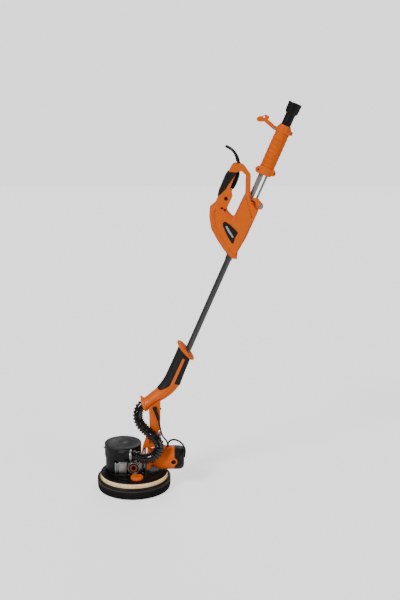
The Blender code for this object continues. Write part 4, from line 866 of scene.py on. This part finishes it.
def build_motor():
    axis = (0, 0, MOTOR_Z)
    flange = soften(nodes["motor_flange"].data.copy(), 0.0008, 4)
    place("flange_plate", flange, ORANGE, "head", "motor_flange", sharp=0)
    piece("flange_bolts", corner_screws(0.0563, 0.0268, 1, 0.0031, 0.0014), STEEL, "head",
          slot="bright_steel")
    barrel = mesh_of(turned([
        (0.0272, 0.0568), (0.0318, 0.0568), (0.0322, 0.0574), (0.0312, 0.06), (0.0302, 0.0625),
        (0.0308, 0.0655), (0.0325, 0.07), (0.036, 0.0775), (0.0388, 0.0845), (0.04, 0.089),
        (MOTOR_R, 0.094), (MOTOR_R, 0.112), (0.0402, 0.1123), (0.0402, 0.1133),
        (MOTOR_R, 0.1136), (MOTOR_R, 0.1386), (0.0401, 0.139), (0.0377, 0.139),
        (0.0377, 0.09), (0.027, 0.064)], 96, "X", axis))
    at = (BRUSH_X, 0, MOTOR_Z)
    for side, name in SIDES:
        boss, bezel, tube = (turned([(r, side * h) for r, h in profile], count, "Y", at)
                             for profile, count in (
            ([(0.0001, 0.033), (0.0118, 0.033), (BOSS_R, 0.0345), (BOSS_R, 0.0456),
              (0.0118, 0.0468), (0.0088, 0.047), (0.0081, 0.0464), (0.0081, 0.043),
              (0.0001, 0.043)], 56),
            ([(0.0001, 0.0436), (0.0076, 0.0436), (0.0076, 0.0452), (0.007, 0.046),
              (0.005, 0.0461), (0.0046, 0.0452), (0.0001, 0.0452)], 40),
            ([(0.0001, 0.0145), (0.004, 0.0145), (0.004, 0.0425), (0.0001, 0.0425)], 16)))
        barrel = joined(barrel, boss)
        piece("brush_plug_" + name, [bezel, tube], BLACK, "head", "brush_cap_" + name)
    gland = rod((0.1158, -0.0125, 0.1415), (0.1158, -0.0125, 0.1492), 0.0058, 0.0053, 32)
    place("motor_barrel", joined(barrel, gland), ORANGE, "head", "motor_housing")
    slots = []
    for turn in turns(14, 0.5):
        out = Vector((0, math.cos(turn), math.sin(turn)))
        side = Vector((0, -out.z, out.y))
        centre = Vector((0.066, 0, MOTOR_Z)) + out * 0.0306
        ring = []
        for a, b in ((-0.002, -0.0032), (0.005, -0.0036), (0.005, 0.0036), (-0.002, 0.0032)):
            ring.append(centre + Vector((a, 0, 0)) + side * b + out * (0.0003 + 0.35 * max(a, 0)))
        slots.append(skin([ring, [p - out * 0.0012 for p in ring]]))
    piece("motor_vents", slots, LABEL, "head", slot="black_plastic")

    end = mesh_of(turned([
        (0.0001, 0.156), (0.0374, 0.158), (0.0374, 0.1393), (0.04, 0.1393), (MOTOR_R, 0.1397),
        (MOTOR_R, 0.145), (0.0396, 0.1454), (0.0396, 0.1462), (0.0404, 0.1468), (0.0402, 0.153),
        (0.0394, 0.159), (0.0372, 0.1645), (0.0335, 0.1686), (0.029, 0.1706), (0.025, 0.1712),
        (0.0244, 0.1704), (0.0215, 0.1704), (0.0209, 0.1712), (0.016, 0.1713), (0.0154, 0.1706),
        (0.012, 0.1706), (0.0114, 0.1713), (0.0001, 0.1713)], 96, "X", axis))
    bosses = [rod((BRUSH_X, side * 0.031, MOTOR_Z), (BRUSH_X, side * 0.05, MOTOR_Z),
                  BOSS_R + 0.0006, segments=56) for side, _ in SIDES]
    grille = []
    for k in range(5):
        z = MOTOR_Z - 0.016 + 0.008 * k
        grille.append(box((0.169, -0.011, z - 0.0012), (0.173, 0.011, z + 0.0012)))
    place("motor_cap", cut(end, *bosses, *grille), BLACK, "head", "motor_end_cap")
    fins = []
    for turn in turns(20, 0.5):
        out = Vector((0, math.cos(turn), math.sin(turn)))
        if abs(out.y) <= 0.86:
            fins.append(rod(Vector((0.148, 0, MOTOR_Z)) + out * 0.0398,
                            Vector((0.159, 0, MOTOR_Z)) + out * 0.0386, 0.001, 0.0007, 12))
    piece("motor_cap_ribs", fins, BLACK, "head", slot="black_plastic")
    jumper = smooth_path([(0.1165, -0.008, 0.15), (0.1175, -0.0085, 0.1595),
                          (0.1225, -0.009, 0.1675), (0.131, -0.009, 0.172),
                          (0.1415, -0.009, 0.172), (0.153, -0.009, 0.1675),
                          (0.164, -0.009, 0.158), (0.172, -0.0088, 0.1445),
                          (0.1746, -0.0085, 0.13), (0.1732, -0.0082, 0.119),
                          (0.1714, -0.008, 0.113)], 0.002)
    wire = curve_piece("motor_jumper", jumper, 0.0032, CABLE, "head")
    foot = rod((0.1722, -0.0081, 0.117), (0.1702, -0.008, 0.109), 0.004, 0.0048, 24)
    piece("jumper_gland", [foot], RUBBER, "head", slot="black_rubber")
    grommet = rod((0.1158, -0.0125, 0.149), (0.1158, -0.0125, 0.154), 0.0046, 0.0034)
    piece("lead_grommet", [grommet], RUBBER, "head", slot="black_rubber")


def build_pivot():
    softened("pivot_bracket", ORANGE_CAST, 0.0008, 4)
    softened("fork_leg", ORANGE_CAST, 0.0009, 4)
    softened("gimbal_cross", GUNMETAL, 0.0006, 2)
    softened("tilt_pin", GUNMETAL, 0.0005, 1)
    points = smooth_path(HOSE_ROUTE, 0.004)
    i = round(HOSE_SPLIT * (len(points) - 1))
    centre, along = points[i], (points[i + 1] - points[i - 1]).normalized()
    side, other = beside(along)
    rings = [circle(centre + along * h, side, other, HOSE_R + r, 64) for r, h in (
        (0.0004, -0.0022), (0.0013, -0.0022), (0.0017, -0.0016), (0.0017, 0.0016),
        (0.0013, 0.0022), (0.0004, 0.0022))]
    x, _, z = GIMBAL
    inward = Vector((x, -0.0272, z)) - centre
    inward -= along * inward.dot(along)
    start = centre + inward.normalized() * (HOSE_R + 0.0008)
    arm = rod(start, (x, -0.0272, z), 0.0026, 0.0034, 20)
    boss = rod((x, -0.03, z), (x, -0.0246, z), 0.005, 0.0054, 28)
    piece("hose_holder", [skin(rings, closed=True), arm, boss], SATIN, "gimbal", "hose_clip")
    nut = rod((x + 0.0184, 0, z), (x + 0.02, 0, z), 0.0056, 0.005, 6)
    piece("roll_pin_nuts", [nut], GUNMETAL, "gimbal", slot="dark_tube")
    studs = [screw((0.086, -0.0189, height), (0, -1, 0), 0.0026, 0.0008)
             for height in (0.23, 0.256)]
    studs.append(rod((0.0895, 0.0, 0.28), (0.095, 0.0, 0.28), 0.0042, 0.0036))
    piece("leg_screws", studs, GUNMETAL, "pole", slot="dark_tube")
    start, end = Vector((0.074, -0.0257, 0.289)), Vector((0.0868, -0.0255, 0.2466))
    along = end - start
    parts = [rod(start, end, 0.0052, 0.0036)]
    for k in range(9):
        near, far = start + along * (0.04 + 0.105 * k), start + along * (0.1 + 0.105 * k)
        parts.append(rod(near, far, 0.006 - 0.00022 * k, 0.0059 - 0.00022 * k, 24))
    parts.append(rod(start - along.normalized() * 0.005, start + along * 0.03, 0.0072, 0.0068))
    piece("lead_boot", parts, RUBBER, "pole", "lead_strain_relief")


# ---------------------------------------------------------------- goose-neck, in the pole's mm
NECK_SLEEVED = [
    ((-33.5, 3.2), (19.0, -24.2), 22.5), ((-33.5, -38), (20.0, -48), 22.5),
    ((-34.0, -80), (21.0, -82), 22.0), ((-35.0, -116), (22.5, -108), 22.0),
    ((-41.5, -152), (22.5, -122), 22.5),
]
NECK_BARE = [
    ((-42.2, -154), (21.8, -126), 22.5), ((-46.5, -166), (14, -153), 22.5),
    ((-52.5, -178.6), (0, -181), 22.5), ((-59, -191), (-15, -202), 22.5),
    ((-66, -205), (-29, -226), 22.5), ((-72, -213), (-41, -246), 23.5),
]
SLEEVE_EDGE = [(-1.0, 0.738), (-0.64, 0.81), (0.08, 0.613), (0.48, 0.58), (1.0, 0.667)]


def stations(given, steps):
    """Stations interpolated through (left point, right point, depth) ones, and their depths."""
    flat = [Vector((*a, *b)) for a, b, _ in given]
    depth = [d for _, _, d in given]
    flat = [flat[0] * 2 - flat[1], *flat, flat[-1] * 2 - flat[-2]]
    depth = [depth[0], *depth, depth[-1]]
    found = []
    for i in range(1, len(flat) - 2):
        for k in range(steps):
            t = k / steps
            found.append((spline(*flat[i - 1:i + 3], t), depth[i] + (depth[i + 1] - depth[i]) * t))
    found.append((flat[-2], depth[-2]))
    return found


def across(p):
    """A station's middle, and the way from it to its right end."""
    return (Vector(((p[0] + p[2]) / 2, 0, (p[1] + p[3]) / 2)),
            Vector((p[2] - p[0], 0, p[3] - p[1])) / 2)


def station_ring(p, depth, shrink, count=96, fullness=2.0, seams=0.0):
    """A ring across the neck; fullness under 2 gives it a crease front and back."""
    middle, reach = across(p)
    a, b = reach.length - shrink, depth - shrink
    along = reach.normalized()
    ring = []
    for k, t in enumerate(turns(count)):
        c, s = math.cos(t), math.sin(t)
        u = math.copysign(abs(c) ** (2 / fullness), c)
        v = math.copysign(abs(s) ** (2 / fullness), s)
        dent = 1.0 - (seams if k % (count // 2) in (26, 27, 28, 33, 34, 35) else 0.0) / a
        ring.append((middle + along * (a * u * dent) + Vector((0, b * v * dent, 0))) * MM)
    return ring


def neck_at(path, share):
    """The station a share of the way down the path, and its depth."""
    along = max(0.0, min(len(path) - 1.001, share * (len(path) - 1)))
    i = int(along)
    (p, d), (q, e) = path[i], path[i + 1]
    return p.lerp(q, along - i), d + (e - d) * (along - i)


def sleeve_length(u):
    """How far down the neck the sleeve reaches, from its left side (-1) to its right (1)."""
    for (a, low), (b, high) in zip(SLEEVE_EDGE, SLEEVE_EDGE[1:]):
        if u <= b:
            return low + (high - low) * max(0.0, u - a) / (b - a)
    return SLEEVE_EDGE[-1][1]


def ease(value, start, stretch):
    """Nought before the start, one after the stretch, even between them."""
    return max(0.0, min(1.0, (value - start) / stretch))


def sleeve_rings(lengths, shrink, rows):
    """The sleeve's outside with its moulded grooves, or its inside when shrink is given."""
    path = stations([*NECK_SLEEVED, *NECK_BARE[1:3]], 10)
    rings = []
    for row in range(rows):
        share, edge = row / (rows - 1), min(row, rows - 1 - row)
        ring = []
        for k, (t, length) in enumerate(zip(turns(len(lengths)), lengths)):
            p, d = neck_at(path, share * length)
            out = shrink
            if not shrink:
                out = {0: 0.7, 1: 0.15}.get(edge, 0.0) - 1.1 * ease(share * length, 0.62, 0.05)
                if 0.12 < share < 0.93 and k % 2 == 0 and (row // 2) % 2:
                    out += 0.35
            middle, reach = across(p)
            ring.append((middle + reach.normalized() * ((reach.length - out) * math.cos(t))
                         + Vector((0, (d - out) * math.sin(t), 0))) * MM)
        rings.append(ring)
    return rings


def sleeve_stripes():
    """The raised stripe down the middle of the sleeve, front and back."""
    rows = []
    for p, d in stations(NECK_SLEEVED, 12):
        middle, reach = across(p)
        if not -131 <= middle.z <= -25:
            continue
        down = (-25 - middle.z) / 106
        row = []
        for x in (-6.5 - 2.0 * down, -2.5 - 1.0 * down, 1.5 + 0.5 * down):
            t = (x - middle.x) / reach.x
            row.append(Vector((x, -d * math.sqrt(max(0.0, 1 - t * t)), middle.z + reach.z * t)))
        rows.append(row)
    stripes = []
    for side, _ in SIDES:
        rings = []
        for row in rows:
            there = [Vector((v.x, v.y * -side, v.z)) for v in row]
            rings.append([(v + Vector((0, side * 0.55, 0))) * MM for v in there]
                         + [(v - Vector((0, side * 1.0, 0))) * MM for v in reversed(there)])
        stripes.append(skin(rings))
    return stripes


def build_neck():
    lengths = [sleeve_length(math.cos(t)) for t in turns(96)]
    rings = []
    for i, (p, d) in enumerate(stations(NECK_SLEEVED, 16)):
        bare = ease(i / 16, 3.4, 0.8)
        under = station_ring(p, d, 3.1)
        full = station_ring(p, d, 0.0, fullness=2.0 - 0.5 * bare, seams=2.0 * bare)
        rings.append([a if i / 96 < reach - 0.015 else b
                      for a, b, reach in zip(under, full, lengths)])
    rings += [station_ring(p, d, 0.0, fullness=1.5, seams=2.0) for p, d in stations(NECK_BARE, 8)]
    piece("neck_casting", [skin(rings)], ORANGE_SEAM, "pole", "neck_shell_front",
          "neck_shell_back", pole=True, sharp=32)
    rings = sleeve_rings(lengths, 0.0, 60) + sleeve_rings(lengths, 2.9, 60)[::-1]
    piece("neck_sleeve", [skin(rings, closed=True)], GRIPPY, "pole", "grip_sleeve", pole=True,
          sharp=50)
    piece("sleeve_stripe", sleeve_stripes(), ORANGE, "pole", pole=True, slot="orange_plastic")
    softened("hand_guard", ORANGE, 0.0009, 3)
    softened("hose_collar", ORANGE, 0.0007, 3)


# ---------------------------------------------------------------- main body, in the pole's mm
BODY_OUTLINE = [
    (-109, 628), (-104, 632), (-91, 637), (-75, 636), (-45, 617.5), (-24, 568), (-14, 545),
    (10, 528), (24, 521), (23, 426), (17, 375), (24, 350), (8, 345), (-31, 363), (-62, 384),
    (-92, 408), (-112, 439),
    (-123, 470), (-112, 492), (-112, 514), (-116, 540), (-116, 562), (-113, 597), (-112, 617),
]
MAIN_OUTLINE = [
    (-35, 546), (-22, 552), (-12, 540), (10, 525), (22, 519), (21, 426), (15, 376), (21, 352),
    (8, 348), (-30, 366), (-61, 387), (-90, 411), (-109, 441), (-119, 469), (-106, 490),
    (-90, 497), (-74, 488), (-65, 476), (-44, 466), (-38, 471),
]
OPENING_OUTLINE = [
    (-82, 613), (-77, 617), (-58.5, 610.5), (-36, 556), (-35, 545), (-37, 474), (-44, 471),
    (-65, 481), (-72, 493), (-71, 533), (-79, 545), (-78, 562),
]
EAR_OUTLINE = [(-10, 530), (8, 547), (20, 549), (30, 545), (32, 537), (26, 525), (10, 515)]
COVER_OUTLINE = [
    (-118.0, 560), (-118.0, 585), (-115, 599), (-103, 603), (-81, 611.5), (-80, 604), (-88.5, 600),
    (-92.5, 586), (-97, 566), (-100, 546), (-108, 524), (-114.5, 512), (-117.5, 530),
]
LABEL_OUTLINE = [(-58, 450), (-13, 435), (-11, 422), (-12, 413), (-13, 393), (-62, 434)]
TRIGGER_OUTLINE = [
    (-89, 604), (-86, 609), (-81.5, 610), (-78, 603), (-75, 588), (-74.5, 570), (-76, 556),
    (-80, 551), (-88, 553),
]
PADDLE_OUTLINE = [
    (-86.0, 603), (-83, 609.5), (-80.0, 610.5), (-77.5, 603), (-75.5, 588), (-75, 570), (-77, 556),
    (-80.5, 551.5), (-84.0, 555), (-84.5, 572), (-84.5, 590),
]
TRIGGER_NOTCH = [
    (-88.5, 608), (-86, 613), (-70, 613), (-68, 548), (-83, 548.5), (-89.0, 553), (-90.5, 572),
    (-89.5, 592),
]
TRIGGER_WELL = [(-94.5, 545), (-94.5, 598), (-90, 610), (-84, 613), (-77, 613), (-75, 545)]
MAIN_INNER = [
    (-37, 540), (-26, 545), (-14, 533), (6, 519), (17, 512), (16, 428), (10, 376), (13, 359),
    (5, 355), (-28, 372), (-57, 392), (-84, 415), (-103, 444), (-112, 468), (-103, 485),
    (-91, 491), (-78, 483), (-67, 471), (-44, 460), (-38, 465),
]
ARM_OUTLINE = [
    (-35.5, 549), (-30, 560), (-22, 555), (-12, 541), (10, 526), (20, 518), (20, 482), (11, 494.5),
]
VALLEY_OUTLINE = [(-103, 492), (-88, 498), (-70, 487), (-69, 485.5), (-88, 495.6), (-102.5, 490.4)]
RIM_LINE = [
    (-107, 476), (-105, 462), (-97, 446), (-80, 423), (-54, 401), (-27, 381), (2, 364), (10, 361),
]
LEVER_SLOT = [(-9.8, 545.0), (-7.6, 546.2), (13.8, 531.4), (12.2, 528.8)]


def ribbon(points, width, low, high):
    """A bar of the given width along a line of points, to cut a groove with."""
    left, right = [], []
    for i, (x, z) in enumerate(points):
        a, b = points[max(0, i - 1)], points[min(len(points) - 1, i + 1)]
        side = Vector((a[1] - b[1], b[0] - a[0])).normalized() * width / 2
        left.append((x + side.x, z + side.y))
        right.append((x - side.x, z - side.y))
    return prism(left + right[::-1], low, high)


def span(side, near, far):
    """The levels of a layer on the front (-1) or the back (1), lower first."""
    return sorted((side * near, side * far))


def trigger_room():
    return prism(TRIGGER_NOTCH, -0.04, 0.04), prism(TRIGGER_WELL, -0.0079, 0.0079)


def build_body():
    shape = joined(mesh_of(prism(BODY_OUTLINE, -0.019, 0.019)),
                   prism(MAIN_OUTLINE, -0.0262, 0.0262), prism(MAIN_INNER, -0.0302, 0.0302),
                   prism(ARM_OUTLINE, -0.0306, 0.0306))
    shape = cut(shape, prism(OPENING_OUTLINE, -0.04, 0.04))
    shape = soften(joined(shape, prism(EAR_OUTLINE, -0.0079, 0.0079)), 0.0011, 2)
    grooves = []
    for side, _ in SIDES:
        grooves.append(ribbon([(-35, 552), (11, 496.5)], 3.0, *span(side, 0.0276, 0.033)))
        grooves.append(ribbon(RIM_LINE, 2.8, *span(side, 0.0276, 0.033)))
        grooves.append(prism(VALLEY_OUTLINE, *span(side, 0.0297, 0.033)))
    x, y = DIAL_AT
    shape = cut(
        shape, rod((0, 0, 0.33), (0, 0, 0.42), 0.0101, segments=40),
        rod((TUBE_X, 0, 0.398), (TUBE_X, 0, 0.6), 0.0085, segments=40),
        rod((GUIDE_X, 0, 0.424), (GUIDE_X, 0, 0.6), 0.0041, segments=32),
        rod((-0.088, -0.04, 0.517), (-0.088, -0.005, 0.517), 0.0059, segments=32),
        rod((-0.0885, -0.04, 0.4848), (-0.0885, -0.019, 0.4848), 0.0041, segments=28),
        rod((-0.0768, -0.04, 0.4828), (-0.0768, -0.019, 0.4828), 0.0041, segments=28),
        rod((x, y, 0.4812), (x, y, 0.4868), 0.0071, segments=48),
        *trigger_room(), prism(LEVER_SLOT, -0.0345, -0.006), *grooves)
    place("body_moulding", shape, ORANGE_SEAM, "pole", "body_shell_front", "body_shell_back",
          sharp=38, pole=True)
    for side, name in SIDES:
        panel = prism(rounded(LABEL_OUTLINE, 3), *span(side, 0.0293, 0.0315))
        piece("side_panel_" + name, [panel], LABEL, "pole", slot="black_plastic", pole=True)
        stripe = prism([(-54.5, 436), (-50.5, 439.5), (-17.5, 415.5), (-18.5, 410.5), (-36, 421)],
                       *span(side, 0.0312, 0.0319))
        piece("side_panel_bar_" + name, [stripe], PALE, "pole", slot="black_plastic", pole=True)
    screws = [screw((0.0105, -0.0302, 0.496), (0, -1, 0), 0.0024, 0.0003)]
    for level, r, places in (
            (0.03, 0.0028, ((-96, 446), (-30, 384), (8, 372), (8, 505), (-52, 462))),
            (0.0186, 0.0024, ((-99, 622), (-53, 612), (-36, 583)))):
        screws += [screw((x * MM, level, z * MM), (0, 1, 0), r, 0.0004) for x, z in places]
    piece("body_screws", screws, BLACK, "pole", pole=True, slot="black_plastic")

    cover = soften(mesh_of(prism(COVER_OUTLINE, -0.0199, 0.0199)), 0.001, 5)
    for k in range(9):
        z = 548 + 5.8 * k
        for side, _ in SIDES:
            cover = cut(cover, prism([(-115, z), (-100, z + 4), (-100, z + 5.6), (-115, z + 1.6)],
                                     *span(side, 0.0193, 0.023)))
    place("handle_overmould", cut(cover, *trigger_room()), GRIPPY, "pole", "overmould", sharp=35,
          pole=True)
    paddle = joined(mesh_of(prism(TRIGGER_OUTLINE, -0.007, 0.007)),
                    prism(PADDLE_OUTLINE, -0.0165, 0.0165))
    place("trigger_paddle", soften(paddle, 0.0008, 4), SATIN, "trigger", "trigger", sharp=0,
          pole=True)
    coat(SATIN, "lock_button")
    teeth = [[Vector((*DIAL_AT, z)) + spoke(turn) * (0.0066 if k % 3 else 0.0061)
              for k, turn in enumerate(turns(72))] for z in (0.4819, 0.4861)]
    piece("dial_wheel", [skin(teeth)], BLACK, "speed_dial", "speed_dial", pole=True, sharp=25)
    softened("clamp_lever", ORANGE, 0.0007, 4)
    softened("clamp_pin", STEEL, 0.0005, 1)


# ---------------------------------------------------------------- tubes and rear grip
def build_upper():
    piece("lower_tube_bar", [turned([
        (0.0082, -0.095), (0.0097, -0.095), (0.0097, 0.4), (0.0082, 0.4)], 64)], TUBE, "pole",
        "lower_tube", pole=True)
    piece("upper_tube_bar", [turned([
        (0.0068, 0.404), (0.008, 0.404), (0.008, 0.7), (0.0068, 0.7)], 64, "Z",
        (TUBE_X, 0, 0))], CHROME, "slider", "upper_tube", pole=True)
    piece("guide_bar", [turned([
        (0.0001, 0.43), (0.0036, 0.43), (0.0037, 0.431), (0.0037, 0.69), (0.0001, 0.69)], 32,
        "Z", (GUIDE_X, 0, 0))], CHROME, "slider", "guide_rod", pole=True)
    softened("grip_clamp", ORANGE, 0.0008, 4)
    # painted shade: dark rods fill the clamp lugs' holes to stand for the shade inside them
    lug_hole_shade_rods = [rod((x, -0.014, z), (x, 0.014, z), r, segments=24)
             for x, z, r in ((-0.0307, 0.6426, 0.0028), (0.0224, 0.6494, 0.0024))]
    piece("lug_hole_shade", lug_hole_shade_rods, LABEL, "slider", pole=True, slot="black_plastic")
    softened("grip_end_collar", ORANGE, 0.0008, 3)
    softened("hook_arm", ORANGE, 0.0007, 4)
    coat(STEEL, "hook_screw")
    profile = [(0.0192, 0.6613), (0.0222, 0.6613), (0.0229, 0.662), (0.0229, 0.668),
               (0.0222, 0.6686), (0.0222, 0.67)]
    for k in range(6):
        z = 0.6716 + k * 0.0158
        profile += [(0.0224, z), (GRIP_R, z + 0.001), (GRIP_R, z + 0.0126), (0.0224, z + 0.0136),
                    (0.0221, z + 0.0147)]
    profile += [(0.0222, 0.769), (0.0229, 0.7696), (0.0229, 0.7752), (0.0222, 0.7757),
                (0.0192, 0.7757)]
    piece("rear_grip_ribs", [turned(profile, 96, "Z", (GRIP_X, 0, 0))], ORANGE_SOFT, "slider",
          "rear_grip", pole=True, sharp=60)
    softened("hose_adapter", BLACK, 0.0008, 2)


build_stage()
build_cord()
build_hose()
build_head()
build_knob()
build_drum()
build_case()
build_motor()
build_pivot()
build_neck()
build_body()
build_upper()
